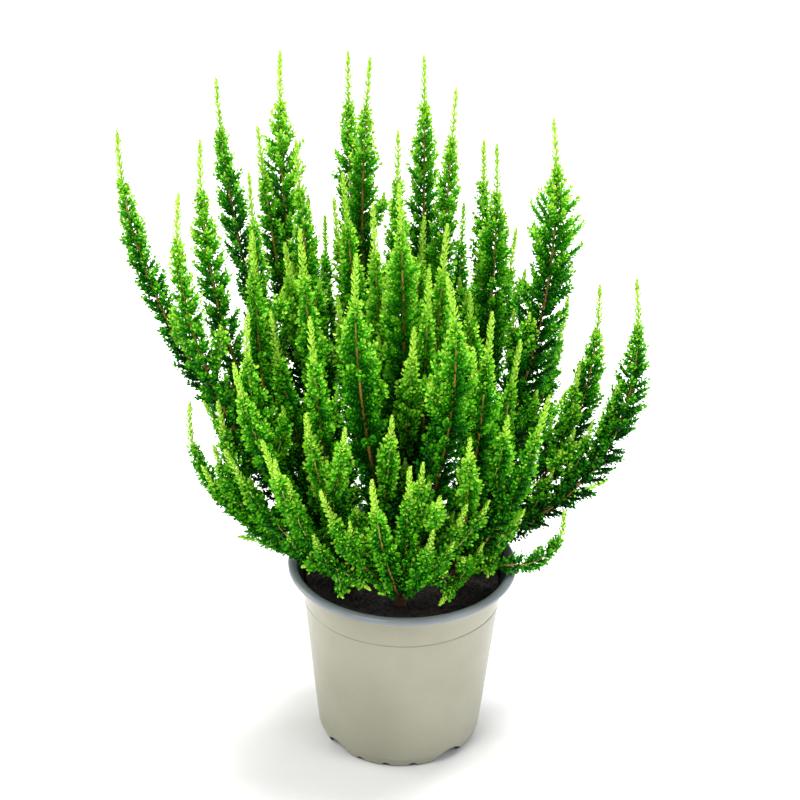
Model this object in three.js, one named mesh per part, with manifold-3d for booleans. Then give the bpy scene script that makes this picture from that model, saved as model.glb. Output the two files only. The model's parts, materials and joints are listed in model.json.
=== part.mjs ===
// A potted heather: a thermoformed nursery pot, its peat, seven rooted cuttings and the leafy stems
// that they carry. Millimetres, +Z up. The origin lies on the ground, under the pot's axis.
import * as THREE from "three";
import { mergeVertices } from "three/addons/utils/BufferGeometryUtils.js";
import Module from "manifold-3d";

const wasm = await Module();
wasm.setup();

// Pot: driving dimensions
const POT_HEIGHT = 104;
const RIM_RADIUS = 60;
const WALL_TOP_RADIUS = 52.8;
const WALL_FOOT_RADIUS = 43.6;
const BASE_RADIUS = 40;
const WALL = 1.2;
const SHOULDER_DROP = 9;
const GROOVE_DROP = 21;
const GROOVE_STEP = 0.6;
const FOOT_ROUNDING = 8;
const POT_SEGMENTS = 40;

// Underside: four feet around a raised channel, and a pad in the middle that rests on the ground
const FOOT_COUNT = 4;
const FOOT_TURN = THREE.MathUtils.degToRad(-5);
const FOOT_GAP_LIFT = 6;
const CHANNEL_HEIGHT = 6.2;
const CHANNEL_INNER = 16;
const CHANNEL_OUTER = 34;
const DRAIN_RADIUS = 4;
const DRAIN_COUNT = 6;

// Peat
const PEAT_EDGE = 94;
const PEAT_CROWN = 96.5;
const CLEARANCE = 0.3;

// Rooted cuttings, each a short trunk that forks into its branches
const CUTTING_RING = 31;
const CUTTINGS_IN_RING = 6;
const ROOTS_INWARD = 0.38;
const TRUNK_RADIUS = 3.2;
const TRUNK_DEPTH = 30;
const FORK_HEIGHT = 6;
const BRANCH_LENGTH = 16;
const BRANCH_ROOT_RADIUS = 1.7;
const BRANCH_END_RADIUS = 1.2;

// Leafy stems
const PATH_POINTS = 15;
const BARE_TIP = 30;
const TIP_REACH = 2.1;
const CORE_SHARE = 0.34;
const CORE_LEAST = 1.0;
const WHORL_SPACING = 9.2;
const WHORL_LIFT = 0.95;
const APART = 0.5;
const EASING_ROUNDS = 60;

// The view in which the stems' tips are read off: eye in millimetres, tips in its pixels
const VIEW = {
  eye: new THREE.Vector3(-2.9, -938, 675),
  pitch: THREE.MathUtils.degToRad(27),
  roll: THREE.MathUtils.degToRad(1.2),
  focal: 2090,
  centre: 400,
};

// Each stem: tip as seen in the view, depth of the tip behind the pot's axis, reach of its side shoots.
// via is a second point that the stem passes half way along, bow how far its foot sweeps outwards,
// and from the stem that it forks off, a share fork of the way up its leafy part.
const STEMS = [
  // Left side
  { id: "a1", tip: [117, 134], depth: 12, reach: 6.6, via: [184, 350] },
  { id: "a2", tip: [178, 197], depth: -34, reach: 6.4, via: [216, 392] },
  { id: "a3", tip: [200, 144], depth: -4, reach: 7.4, via: [237, 366] },
  { id: "a4", tip: [216, 81], depth: 62, reach: 7.4, via: [259, 318] },
  { id: "a5", tip: [249, 176], depth: 26, reach: 5.2, from: "a3", fork: 0.2 },
  { id: "a6", tip: [258, 130], depth: 40, reach: 6, from: "a7", fork: 0.3 },
  { id: "a7", tip: [280, 54], depth: 50, reach: 10.4, via: [297, 318] },
  { id: "a8", tip: [296, 143], depth: 22, reach: 6.4 },
  { id: "a9", tip: [308, 198], depth: 76, reach: 5 },
  { id: "a10", tip: [325, 219], depth: 84, reach: 5, from: "a9", fork: 0.3 },
  { id: "a11", tip: [300, 232], depth: -24, reach: 5.6 },
  { id: "a12", tip: [252, 234], depth: -16, reach: 6, from: "a3", fork: 0.3 },
  // Middle, tall
  { id: "b1", tip: [348, 55], depth: 66, reach: 7.6, via: [361, 312] },
  { id: "b2", tip: [370, 61], depth: 50, reach: 7.4, via: [363, 262], from: "b1", fork: 0.16 },
  { id: "b3", tip: [343, 176], depth: 14, reach: 6 },
  { id: "b4", tip: [334, 201], depth: 30, reach: 5, from: "b3", fork: 0.3 },
  { id: "b5", tip: [398, 134], depth: 22, reach: 6.4 },
  { id: "b6", tip: [399, 187], depth: -30, reach: 10, via: [404, 372] },
  { id: "b7", tip: [373, 207], depth: -4, reach: 5.2 },
  { id: "b8", tip: [424, 59], depth: 58, reach: 8, via: [420, 312] },
  { id: "b9", tip: [456, 91], depth: 42, reach: 7 },
  { id: "b10", tip: [447, 227], depth: -14, reach: 7 },
  { id: "b11", tip: [464, 206], depth: 80, reach: 5.6, from: "k4", fork: 0.35 },
  { id: "b12", tip: [484, 143], depth: 60, reach: 5.6, from: "b13", fork: 0.45 },
  { id: "b13", tip: [497, 147], depth: 40, reach: 9.2, via: [487, 341] },
  { id: "b14", tip: [516, 231], depth: 66, reach: 5.4, from: "b13", fork: 0.25 },
  // Right side
  { id: "c1", tip: [554, 122], depth: 12, reach: 12.4, via: [537, 336] },
  { id: "c2", tip: [600, 288], depth: 26, reach: 8.8, via: [560, 452] },
  { id: "c3", tip: [637, 283], depth: 2, reach: 8.2, via: [598, 462] },
  { id: "c4", tip: [568, 299], depth: 62, reach: 7.4, bow: 0.8 },
  { id: "c5", tip: [549, 398], depth: -40, reach: 6 },
  { id: "c6", tip: [520, 343], depth: -18, reach: 7 },
  { id: "c7", tip: [492, 315], depth: -48, reach: 8.4 },
  { id: "c8", tip: [514, 312], depth: 20, reach: 6, from: "c1", fork: 0.3 },
  { id: "c9", tip: [605, 481], depth: 48, reach: 4.6, via: [548, 506] },
  { id: "c10", tip: [564, 513], depth: -8, reach: 4.8, via: [538, 560] },
  { id: "c11", tip: [566, 392], depth: 80, reach: 6, bow: 0.8, from: "k6", fork: 0.3 },
  // Front left
  { id: "d1", tip: [248, 316], depth: -42, reach: 7, via: [268, 445] },
  { id: "d2", tip: [271, 315], depth: -20, reach: 6.4 },
  { id: "d3", tip: [310, 320], depth: -58, reach: 6.4 },
  { id: "d4", tip: [234, 366], depth: -56, reach: 6.6, from: "d1", fork: 0.25 },
  { id: "d5", tip: [306, 416], depth: -64, reach: 5.2, from: "d3", fork: 0.25 },
  { id: "d6", tip: [190, 405], depth: -14, reach: 5.6, via: [225, 498] },
  { id: "d7", tip: [263, 443], depth: -66, reach: 4.6 },
  { id: "d8", tip: [275, 462], depth: -72, reach: 4.2, from: "d7", fork: 0.4 },
  { id: "d9", tip: [288, 481], depth: -68, reach: 4.2, from: "d7", fork: 0.25 },
  { id: "d10", tip: [321, 493], depth: -76, reach: 4.6 },
  { id: "d11", tip: [218, 404], depth: -34, reach: 6.6, from: "d6", fork: 0.3 },
  // Front middle
  { id: "e1", tip: [356, 257], depth: -62, reach: 9.4, via: [364, 418] },
  { id: "e2", tip: [429, 271], depth: -34, reach: 5.2, from: "b10", fork: 0.25 },
  { id: "e3", tip: [448, 280], depth: -66, reach: 9.4, via: [450, 418] },
  { id: "e6", tip: [410, 469], depth: -78, reach: 5.6 },
  { id: "e7", tip: [423, 465], depth: -70, reach: 5, from: "e6", fork: 0.35 },
  { id: "e8", tip: [372, 483], depth: -84, reach: 6.2 },
  // Low shoots over the rim
  { id: "f6", tip: [350, 524], depth: -70, reach: 4.2, from: "d10", fork: 0.3 },
  { id: "f7", tip: [314, 536], depth: -58, reach: 4.2 },
  { id: "f8", tip: [305, 566], depth: -44, reach: 3.8, from: "f7", fork: 0.4 },
  { id: "f9", tip: [368, 588], depth: -54, reach: 3.8, from: "f7", fork: 0.35 },
  { id: "f10", tip: [342, 603], depth: -45, reach: 3.4, from: "f9", fork: 0.2 },
  { id: "f11", tip: [384, 592], depth: -50, reach: 3.6, from: "e8", fork: 0.12 },
  { id: "g2", tip: [433, 532], depth: -76, reach: 4.8 },
  { id: "g3", tip: [453, 544], depth: -64, reach: 4.4, from: "g2", fork: 0.3 },
  { id: "g4", tip: [466, 507], depth: -60, reach: 5 },
  { id: "g5", tip: [488, 503], depth: -48, reach: 5.2, from: "g4", fork: 0.3 },
  { id: "g6", tip: [440, 498], depth: -82, reach: 5.4, from: "e3", fork: 0.18 },
  { id: "g7", tip: [482, 545], depth: -34, reach: 4.2 },
  { id: "g8", tip: [523, 512], depth: -14, reach: 5 },
  { id: "g9", tip: [463, 558], depth: -54, reach: 4, from: "g7", fork: 0.3 },
  { id: "g10", tip: [441, 603], depth: -52, reach: 3.4, from: "g7", fork: 0.25 },
  { id: "g12", tip: [488, 574], depth: -26, reach: 3.4, from: "g8", fork: 0.3 },
  { id: "h1", tip: [241, 537], depth: -8, reach: 4.4, via: [292, 550] },
  // Short shoots in the mouth of the pot
  { id: "j1", tip: [371, 486], depth: 28, reach: 5, from: "a8", fork: 0.04 },
  { id: "j2", tip: [370, 516], depth: -4, reach: 5.2, from: "b3", fork: 0.04 },
  { id: "j3", tip: [436, 510], depth: 8, reach: 5.2, from: "b9", fork: 0.04 },
  { id: "j4", tip: [437, 476], depth: 34, reach: 5, from: "b13", fork: 0.04 },
  { id: "j5", tip: [434, 522], depth: -24, reach: 5, from: "c7", fork: 0.04 },
  { id: "j6", tip: [370, 540], depth: -28, reach: 5, from: "d3", fork: 0.04 },
  { id: "j7", tip: [500, 530], depth: -26, reach: 4.6, from: "c6", fork: 0.04 },
  { id: "j8", tip: [366, 562], depth: -46, reach: 4.4, from: "e1", fork: 0.04 },
  { id: "j9", tip: [446, 572], depth: -50, reach: 4.2, from: "g4", fork: 0.04 },
  { id: "j10", tip: [301, 534], depth: -30, reach: 4.4, from: "d1", fork: 0.04 },
  // Fillers inside the bush
  { id: "i1", tip: [384, 296], depth: -8, reach: 6.4, from: "b7", fork: 0.35 },
  { id: "i2", tip: [414, 330], depth: -52, reach: 6.2, from: "b6", fork: 0.25 },
  { id: "i3", tip: [470, 296], depth: 8, reach: 6.6, from: "b13", fork: 0.28 },
  { id: "i4", tip: [474, 352], depth: -30, reach: 6, from: "c7", fork: 0.25 },
  { id: "i5", tip: [338, 300], depth: -8, reach: 6.6, from: "b3", fork: 0.3 },
  { id: "i6", tip: [392, 418], depth: -62, reach: 5.6, from: "e1", fork: 0.2 },
  { id: "i7", tip: [508, 418], depth: -50, reach: 6, from: "c6", fork: 0.3 },
  { id: "i8", tip: [226, 452], depth: -44, reach: 6.2 },
  { id: "i9", tip: [345, 430], depth: -78, reach: 5.6, from: "d3", fork: 0.3 },
  { id: "i10", tip: [536, 448], depth: -26, reach: 6, from: "c5", fork: 0.3 },
  { id: "i11", tip: [285, 246], depth: 6, reach: 6.6, from: "a8", fork: 0.3 },
  { id: "i12", tip: [560, 452], depth: 6, reach: 5.4, from: "c2", fork: 0.35 },
  { id: "i13", tip: [424, 220], depth: 30, reach: 6.4, from: "b5", fork: 0.25 },
  { id: "i14", tip: [250, 480], depth: -34, reach: 5, from: "d6", fork: 0.25 },
  { id: "i15", tip: [470, 440], depth: -72, reach: 5.6, from: "c7", fork: 0.2 },
  // Back, behind the stems above
  { id: "k1", tip: [282, 205], depth: 96, reach: 7 },
  { id: "k2", tip: [352, 190], depth: 104, reach: 7.4 },
  { id: "k3", tip: [428, 184], depth: 100, reach: 7.4 },
  { id: "k4", tip: [492, 222], depth: 92, reach: 7.4 },
  { id: "k5", tip: [250, 292], depth: 74, reach: 6.8 },
  { id: "k6", tip: [540, 300], depth: 88, reach: 6.4 },
  { id: "k7", tip: [396, 240], depth: 92, reach: 7.4, from: "k2", fork: 0.3 },
  { id: "k8", tip: [330, 290], depth: 106, reach: 6.2, bow: 0.8 },
  { id: "k9", tip: [448, 300], depth: 108, reach: 6.2, bow: 0.8 },
  { id: "k10", tip: [232, 392], depth: 48, reach: 5.6, from: "k5", fork: 0.35 },
  { id: "k11", tip: [300, 380], depth: 92, reach: 5.4, from: "k8", fork: 0.3 },
  { id: "k12", tip: [390, 340], depth: 112, reach: 5.8, from: "k2", fork: 0.2 },
  { id: "k13", tip: [500, 370], depth: 100, reach: 5.4, from: "k9", fork: 0.4 },
  { id: "k14", tip: [338, 442], depth: 100, reach: 4.6, from: "k8", fork: 0.12 },
  { id: "k15", tip: [472, 440], depth: 94, reach: 4.6, from: "k9", fork: 0.2 },
];

const lerp = THREE.MathUtils.lerp;
const clamp = THREE.MathUtils.clamp;

// Pot and peat

// The height that a stem has to stay above, so that it clears the peat, the rim and the lip.
function groundUnder(x, y) {
  const r = Math.hypot(x, y);
  if (r > RIM_RADIUS + 8) return 0;
  if (r > RIM_RADIUS - 14) return POT_HEIGHT + 1.5;
  return lerp(PEAT_CROWN, POT_HEIGHT, clamp((r - 30) / 16, 0, 1)) + 1.5;
}

// 0 on a foot of the pot and 1 in the middle of the gap between two feet.
function gapBetweenFeet(angle) {
  const wave = Math.cos(FOOT_COUNT * (angle - FOOT_TURN));
  return THREE.MathUtils.smoothstep(-wave, 0.4, 0.85);
}

// The wall's outer radius at a height.
function wallRadius(z) {
  const taper = (WALL_TOP_RADIUS - WALL_FOOT_RADIUS) / (POT_HEIGHT - SHOULDER_DROP - FOOT_ROUNDING);
  return WALL_FOOT_RADIUS + taper * (z - FOOT_ROUNDING);
}

// The pot's skin, revolved from its section: underside, wall, lip, then back down the inside.
function makePot() {
  const top = POT_HEIGHT;
  const groove = top - GROOVE_DROP;
  const section = [
    [0, 0],
    [CHANNEL_INNER - 2.5, 0],
    [CHANNEL_INNER, CHANNEL_HEIGHT],
    [CHANNEL_OUTER, CHANNEL_HEIGHT],
    [BASE_RADIUS - 4.5, 0],
    [BASE_RADIUS, 0],
    [WALL_FOOT_RADIUS, FOOT_ROUNDING],
    [wallRadius(groove) - GROOVE_STEP, groove],
    [wallRadius(groove + 1), groove + 1],
    [WALL_TOP_RADIUS, top - SHOULDER_DROP],
    [WALL_TOP_RADIUS + 2, top - SHOULDER_DROP + 4],
    [RIM_RADIUS - 1.2, top - 3.6],
    [RIM_RADIUS, top - 2.4],
    [RIM_RADIUS - 0.3, top - 0.7],
    [RIM_RADIUS - 2, top],
    [RIM_RADIUS - 5, top - 1.2],
    [WALL_TOP_RADIUS - WALL, top - SHOULDER_DROP - 1],
    [WALL_FOOT_RADIUS - WALL, FOOT_ROUNDING + 2],
    [BASE_RADIUS - 3, CHANNEL_HEIGHT + WALL],
    [CHANNEL_INNER + 0.5, CHANNEL_HEIGHT + WALL],
    [CHANNEL_INNER - 2, WALL],
    [0, WALL],
  ].map(([r, z]) => new THREE.Vector2(r, z));
  const skin = new THREE.LatheGeometry(section, POT_SEGMENTS);
  skin.rotateX(Math.PI / 2);
  const at = skin.getAttribute("position");
  for (let i = 0; i < at.count; i++) {
    const x = at.getX(i);
    const y = at.getY(i);
    const z = at.getZ(i);
    const r = Math.hypot(x, y);
    if (z > 0.01 || r < BASE_RADIUS - 8) continue;
    const gap = gapBetweenFeet(Math.atan2(y, x));
    const pulled = r > BASE_RADIUS - 1 ? (wallRadius(0) - 2.4 * (1 - gap) - 1.2 * gap) / r : 1;
    at.setXYZ(i, x * pulled, y * pulled, gap * (FOOT_GAP_LIFT - 0.2));
  }
  let pot = solidOf(skin);
  const ring = (CHANNEL_INNER + CHANNEL_OUTER) / 2;
  for (let i = 0; i < DRAIN_COUNT; i++) {
    const turn = ((i + 0.5) * 2 * Math.PI) / DRAIN_COUNT;
    const drain = new THREE.CylinderGeometry(DRAIN_RADIUS, DRAIN_RADIUS, 8, 10);
    drain.rotateX(Math.PI / 2);
    drain.translate(ring * Math.cos(turn), ring * Math.sin(turn), CHANNEL_HEIGHT);
    pot = pot.subtract(solidOf(drain));
  }
  return pot;
}

// The peat fills the pot and leaves one plain hole for each cutting's trunk.
function makePeat() {
  const floor = CHANNEL_HEIGHT + WALL + CLEARANCE;
  const gap = WALL + CLEARANCE + 0.25;
  const section = [
    [0, WALL + CLEARANCE],
    [CHANNEL_INNER - 2.5, WALL + CLEARANCE],
    [CHANNEL_INNER, floor],
    [BASE_RADIUS - 3.6, floor],
    [wallRadius(FOOT_ROUNDING + 3) - gap - 0.4, FOOT_ROUNDING + 3],
    [wallRadius(PEAT_EDGE - 1) - gap, PEAT_EDGE - 1],
    [WALL_TOP_RADIUS - 6, PEAT_EDGE + 0.6],
    [WALL_TOP_RADIUS - 24, PEAT_CROWN - 0.4],
    [0, PEAT_CROWN],
  ].map(([r, z]) => new THREE.Vector2(r, z));
  const body = new THREE.LatheGeometry(section, 28);
  body.rotateX(Math.PI / 2);
  let peat = solidOf(body);
  for (const fork of FORKS) {
    const hole = new THREE.CylinderGeometry(
      TRUNK_RADIUS + CLEARANCE,
      TRUNK_RADIUS + CLEARANCE,
      TRUNK_DEPTH + CLEARANCE + 20,
      8,
    );
    hole.rotateX(Math.PI / 2);
    hole.translate(fork.x, fork.y, PEAT_CROWN - TRUNK_DEPTH - CLEARANCE + (TRUNK_DEPTH + CLEARANCE + 20) / 2);
    peat = peat.subtract(solidOf(hole));
  }
  return peat;
}

// Stems: paths

// Where the cuttings fork, just above the peat: one in the middle and a ring around it.
const FORKS = [new THREE.Vector3(0, 2, PEAT_CROWN + FORK_HEIGHT)];
for (let i = 0; i < CUTTINGS_IN_RING; i++) {
  const turn = Math.PI / 6 + (i * 2 * Math.PI) / CUTTINGS_IN_RING;
  FORKS.push(
    new THREE.Vector3(CUTTING_RING * Math.cos(turn), CUTTING_RING * Math.sin(turn), PEAT_CROWN + FORK_HEIGHT),
  );
}

// The point that is seen at a pixel of the view, at a given depth behind the pot's axis.
function seenAt([u, v], depth) {
  const right = u - VIEW.centre;
  const up = VIEW.centre - v;
  const a = (right * Math.cos(VIEW.roll) - up * Math.sin(VIEW.roll)) / VIEW.focal;
  const b = (right * Math.sin(VIEW.roll) + up * Math.cos(VIEW.roll)) / VIEW.focal;
  const forward = Math.cos(VIEW.pitch) + b * Math.sin(VIEW.pitch);
  const rise = b * Math.cos(VIEW.pitch) - Math.sin(VIEW.pitch);
  const reach = (depth - VIEW.eye.y) / forward;
  return new THREE.Vector3(VIEW.eye.x + reach * a, depth, VIEW.eye.z + reach * rise);
}

// A point at share t of a path, which is a list of evenly spaced points.
function alongPath(path, t) {
  const at = clamp(t, 0, 1) * (path.length - 1);
  const k = Math.min(Math.floor(at), path.length - 2);
  return path[k].clone().lerp(path[k + 1], at - k);
}

function pathLength(path) {
  let sum = 0;
  for (let k = 1; k < path.length; k++) sum += path[k].distanceTo(path[k - 1]);
  return sum;
}

// A stem leaves its fork outwards and turns up towards its tip.
function growPath(stem, start) {
  const tip = seenAt(stem.tip, stem.depth);
  const across = tip.clone().sub(start);
  const bow = stem.bow ?? 0.45;
  let bend = new THREE.Vector3(
    start.x + across.x * lerp(0.5, 0.9, bow),
    start.y + across.y * lerp(0.5, 0.9, bow),
    start.z + across.z * lerp(0.5, 0.25, bow),
  );
  if (stem.via) {
    const middle = seenAt(stem.via, lerp(start.y, stem.depth, 0.62));
    bend = middle.multiplyScalar(2).addScaledVector(start, -0.5).addScaledVector(tip, -0.5);
  }
  return new THREE.QuadraticBezierCurve3(start, bend, tip).getSpacedPoints(PATH_POINTS - 1);
}

// The length of a stem's foot that is bare wood.
function bareFoot(length) {
  return Math.min(BRANCH_LENGTH, 0.3 * length);
}

// How far the leaves and side shoots reach from the axis, at a distance from the tip.
function leafReach(stem, fromTip, length) {
  const bare = Math.min(BARE_TIP, 0.24 * length);
  if (fromTip < bare) return lerp(1.5, TIP_REACH, fromTip / bare);
  const widened = clamp((fromTip - bare) / (bare * 0.9), 0, 1);
  const full = lerp(TIP_REACH + 0.6, stem.reach, widened);
  const low = clamp((length - fromTip - bareFoot(length)) / (0.3 * length), 0, 1);
  return full * lerp(0.6, 1, low);
}

const byId = new Map(STEMS.map((stem) => [stem.id, stem]));

// The stem whose node this one belongs to.
function mainStemOf(stem) {
  return stem.from ? mainStemOf(byId.get(stem.from)) : stem;
}

// The point of its parent's path that a stem forks off at.
function forkPoint(stem) {
  const parent = byId.get(stem.from);
  const length = pathLength(parent.path);
  const leafyFrom = parent.from ? 0 : bareFoot(length) / length;
  return alongPath(parent.path, lerp(leafyFrom, 1, Math.max(stem.fork, 0.04)));
}

// A stem grows from the cutting that lies nearest to a point part of the way out to its tip.
function nearestFork(stem) {
  const tip = seenAt(stem.tip, stem.depth);
  const off = (fork) => Math.hypot(fork.x - tip.x * ROOTS_INWARD, fork.y - tip.y * ROOTS_INWARD);
  return FORKS.reduce((best, fork) => (off(fork) < off(best) ? fork : best));
}

function growAll() {
  const grow = (stem) => {
    if (stem.path) return;
    if (stem.from) grow(byId.get(stem.from));
    stem.fork_at = stem.from ? null : nearestFork(stem);
    const start = stem.from ? forkPoint(stem) : stem.fork_at.clone();
    stem.path = growPath(stem, start);
  };
  STEMS.forEach(grow);
}

// Eases neighbouring stems apart, mostly in depth, so that their leaves stay clear of each other.
function easeApart() {
  const marks = [];
  for (const stem of STEMS) {
    const length = pathLength(stem.path);
    stem.path.forEach((point, k) => {
      const t = k / (PATH_POINTS - 1);
      marks.push({
        stem,
        main: mainStemOf(stem),
        k,
        point,
        reach: leafReach(stem, (1 - t) * length, length) * 0.8,
        give: Math.min(1, t * 4),
      });
    });
  }
  const push = new THREE.Vector3();
  for (let round = 0; round < EASING_ROUNDS; round++) {
    const moves = new Map(STEMS.map((stem) => [stem, stem.path.map(() => new THREE.Vector3())]));
    for (let i = 0; i < marks.length; i++) {
      for (let j = i + 1; j < marks.length; j++) {
        const a = marks[i];
        const b = marks[j];
        if (a.main === b.main) continue;
        push.subVectors(a.point, b.point);
        const apart = push.length();
        const wanted = a.reach + b.reach;
        if (apart >= wanted || apart < 1e-6) continue;
        push.multiplyScalar((0.25 * (wanted - apart)) / apart);
        push.x *= 0.2;
        push.z *= 0.2;
        moves.get(a.stem)[a.k].addScaledVector(push, a.give);
        moves.get(b.stem)[b.k].addScaledVector(push, -b.give);
      }
    }
    for (const stem of STEMS) {
      const move = moves.get(stem);
      stem.path.forEach((point, k) => {
        const before = move[Math.max(k - 1, 0)];
        const after = move[Math.min(k + 1, PATH_POINTS - 1)];
        point.addScaledVector(before, 0.3).addScaledVector(move[k], 0.6).addScaledVector(after, 0.3);
        const t = k / (PATH_POINTS - 1);
        const floor = groundUnder(point.x, point.y) + Math.min(3.5, stem.reach) * Math.min(1, t * 5);
        if (t > 0.1 && point.z < floor) point.z = lerp(point.z, floor, 0.5);
      });
      if (stem.from) {
        const shift = forkPoint(stem).sub(stem.path[0]);
        stem.path.forEach((point, k) => point.addScaledVector(shift, 1 - k / (PATH_POINTS - 1)));
      } else {
        stem.path[0].copy(stem.fork_at);
      }
    }
  }
}

// Half the way from a point to the nearest stem of another node, less a margin.
function roomAround(point, main) {
  let nearest = Infinity;
  const line = new THREE.Line3();
  const close = new THREE.Vector3();
  for (const stem of STEMS) {
    if (mainStemOf(stem) === main) continue;
    for (let k = 1; k < PATH_POINTS; k++) {
      line.set(stem.path[k - 1], stem.path[k]);
      line.closestPointToPoint(point, true, close);
      nearest = Math.min(nearest, close.distanceTo(point));
    }
  }
  const overGround = point.z - groundUnder(point.x, point.y) + 1.2;
  return Math.min(nearest / 2, Math.max(overGround, 1.2)) - APART;
}

// Stems: solids

// A closed mesh as a solid.
function solidOf(geometry) {
  const bare = geometry.clone();
  bare.deleteAttribute("normal");
  bare.deleteAttribute("uv");
  const merged = mergeVertices(bare, 1e-4);
  return new wasm.Manifold(
    new wasm.Mesh({
      numProp: 3,
      vertProperties: merged.attributes.position.array,
      triVerts: new Uint32Array(merged.index.array),
    }),
  );
}

function geometryOf(solid) {
  const mesh = solid.getMesh();
  const geometry = new THREE.BufferGeometry();
  geometry.setAttribute("position", new THREE.BufferAttribute(new Float32Array(mesh.vertProperties), 3));
  geometry.setIndex(new THREE.BufferAttribute(new Uint32Array(mesh.triVerts), 1));
  geometry.computeVertexNormals();
  return geometry;
}

// Directions along a path and two across it, carried on without twist.
function framesAlong(points) {
  const frames = [];
  let side = new THREE.Vector3(1, 0, 0);
  points.forEach((point, k) => {
    const ahead = points[Math.min(k + 1, points.length - 1)];
    const behind = points[Math.max(k - 1, 0)];
    const along = ahead.clone().sub(behind).normalize();
    side = side.clone().addScaledVector(along, -side.dot(along)).normalize();
    frames.push({ along, side, across: along.clone().cross(side) });
  });
  return frames;
}

// A skin over rings of points, closed by a fan at each end, with its diagonals between the inner points.
function skinOver(rings, sides, foot, tip) {
  const points = [...rings.flat(), foot, tip];
  const footAt = rings.length * sides;
  const tipAt = footAt + 1;
  const faces = [];
  for (let k = 0; k + 1 < rings.length; k++) {
    for (let j = 0; j < sides; j++) {
      const a = k * sides + j;
      const b = k * sides + ((j + 1) % sides);
      const c = b + sides;
      const d = a + sides;
      if ((k + j) % 2 === 0) faces.push(a, b, d, b, c, d);
      else faces.push(a, b, c, a, c, d);
    }
  }
  const last = (rings.length - 1) * sides;
  for (let j = 0; j < sides; j++) {
    faces.push(footAt, (j + 1) % sides, j);
    faces.push(tipAt, last + j, last + ((j + 1) % sides));
  }
  const geometry = new THREE.BufferGeometry();
  geometry.setAttribute("position", new THREE.Float32BufferAttribute(points.flatMap((p) => [p.x, p.y, p.z]), 3));
  geometry.setIndex(faces);
  return geometry;
}

// A plain round branch from one share of a path to another.
function branchAlong(path, from, to, rootRadius, endRadius, sides, steps) {
  const centres = Array.from({ length: steps + 1 }, (_, k) => alongPath(path, lerp(from, to, k / steps)));
  const frames = framesAlong(centres);
  const rings = centres.map((centre, k) =>
    Array.from({ length: sides }, (_, j) => {
      const turn = (j * 2 * Math.PI) / sides;
      const radius = lerp(rootRadius, endRadius, k / steps);
      return centre
        .clone()
        .addScaledVector(frames[k].side, radius * Math.cos(turn))
        .addScaledVector(frames[k].across, radius * Math.sin(turn));
    }),
  );
  return solidOf(skinOver(rings, sides, centres[0], centres[steps]));
}

// A leafy stem: a slim core, raised into opposite pairs of side shoots that point up and out,
// each pair crossing the one below it.
function leafyStem(stem) {
  const length = pathLength(stem.path);
  const main = mainStemOf(stem);
  const startAt = stem.from ? 0 : (bareFoot(length) + 1.4 * CLEARANCE) / length;
  const sides = 4;
  const whorls = Math.max(4, Math.round(((1 - startAt) * length) / WHORL_SPACING));
  const shares = [startAt];
  for (let k = 1; k < whorls; k++) shares.push(lerp(startAt, 1, (k - 0.35) / (whorls - 0.5)));
  const centres = shares.map((t) => alongPath(stem.path, t));
  centres.push(alongPath(stem.path, 1));
  const frames = framesAlong(centres);
  const step = ((1 - startAt) * length) / whorls;
  const rings = shares.map((t, k) => {
    const turnOf = (j) => (j * 2 * Math.PI) / sides;
    const fromTip = (1 - t) * length;
    return Array.from({ length: sides }, (_, j) => {
      const out = k > 0 && k < whorls - 1 && (k + j) % 2 === 0;
      const liftShare = out ? (step * WHORL_LIFT) / length : 0;
      const centre = alongPath(stem.path, Math.min(t + liftShare, 1));
      const room = roomAround(centre, main);
      const wanted = leafReach(stem, fromTip, length);
      const reach = Math.min(wanted, Math.max(room, 0.9));
      const core = k === 0 ? BRANCH_END_RADIUS : Math.max(CORE_LEAST, CORE_SHARE * reach);
      const radius = out ? reach : Math.min(core, Math.max(room, 0.9));
      return centre
        .addScaledVector(frames[k].side, radius * Math.cos(turnOf(j)))
        .addScaledVector(frames[k].across, radius * Math.sin(turnOf(j)));
    });
  });
  const geometry = skinOver(rings, sides, centres[0], centres[centres.length - 1]);
  return solidOf(geometry);
}

growAll();
easeApart();

// Assembly

const potPlastic = new THREE.MeshStandardMaterial({ color: 0xb9b8a2, roughness: 0.5, metalness: 0 });
const darkPeat = new THREE.MeshStandardMaterial({ color: 0x1d1612, roughness: 0.95, metalness: 0 });
const bark = new THREE.MeshStandardMaterial({ color: 0x6b4526, roughness: 0.85, metalness: 0 });
const leaf = new THREE.MeshStandardMaterial({ color: 0x4f9a1c, roughness: 0.6, metalness: 0 });

const heather = new THREE.Group();

// Joining can leave a crumb or seal a tiny hollow, so a node is the largest body of its solid.
function largestBody(solid) {
  return solid.decompose().reduce((best, body) => (body.volume() > best.volume() ? body : best));
}

function addNode(name, solid, material) {
  const mesh = new THREE.Mesh(geometryOf(largestBody(solid)), material);
  mesh.name = name;
  heather.add(mesh);
}

addNode("pot", makePot(), potPlastic);
addNode("peat", makePeat(), darkPeat);

// Each cutting is its trunk and the bare foot of every stem that it carries.
FORKS.forEach((fork, i) => {
  const trunkPath = [
    new THREE.Vector3(fork.x, fork.y, PEAT_CROWN - TRUNK_DEPTH),
    new THREE.Vector3(fork.x, fork.y, fork.z + 1),
  ];
  let wood = branchAlong(trunkPath, 0, 1, TRUNK_RADIUS, TRUNK_RADIUS * 0.8, 8, 1);
  for (const stem of STEMS.filter((s) => s.fork_at === fork)) {
    const length = pathLength(stem.path);
    const share = bareFoot(length) / length;
    wood = wood.add(branchAlong(stem.path, 0, share, BRANCH_ROOT_RADIUS, BRANCH_END_RADIUS, 4, 2));
  }
  addNode(`woody_cutting_${i + 1}`, wood, bark);
});

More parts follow.
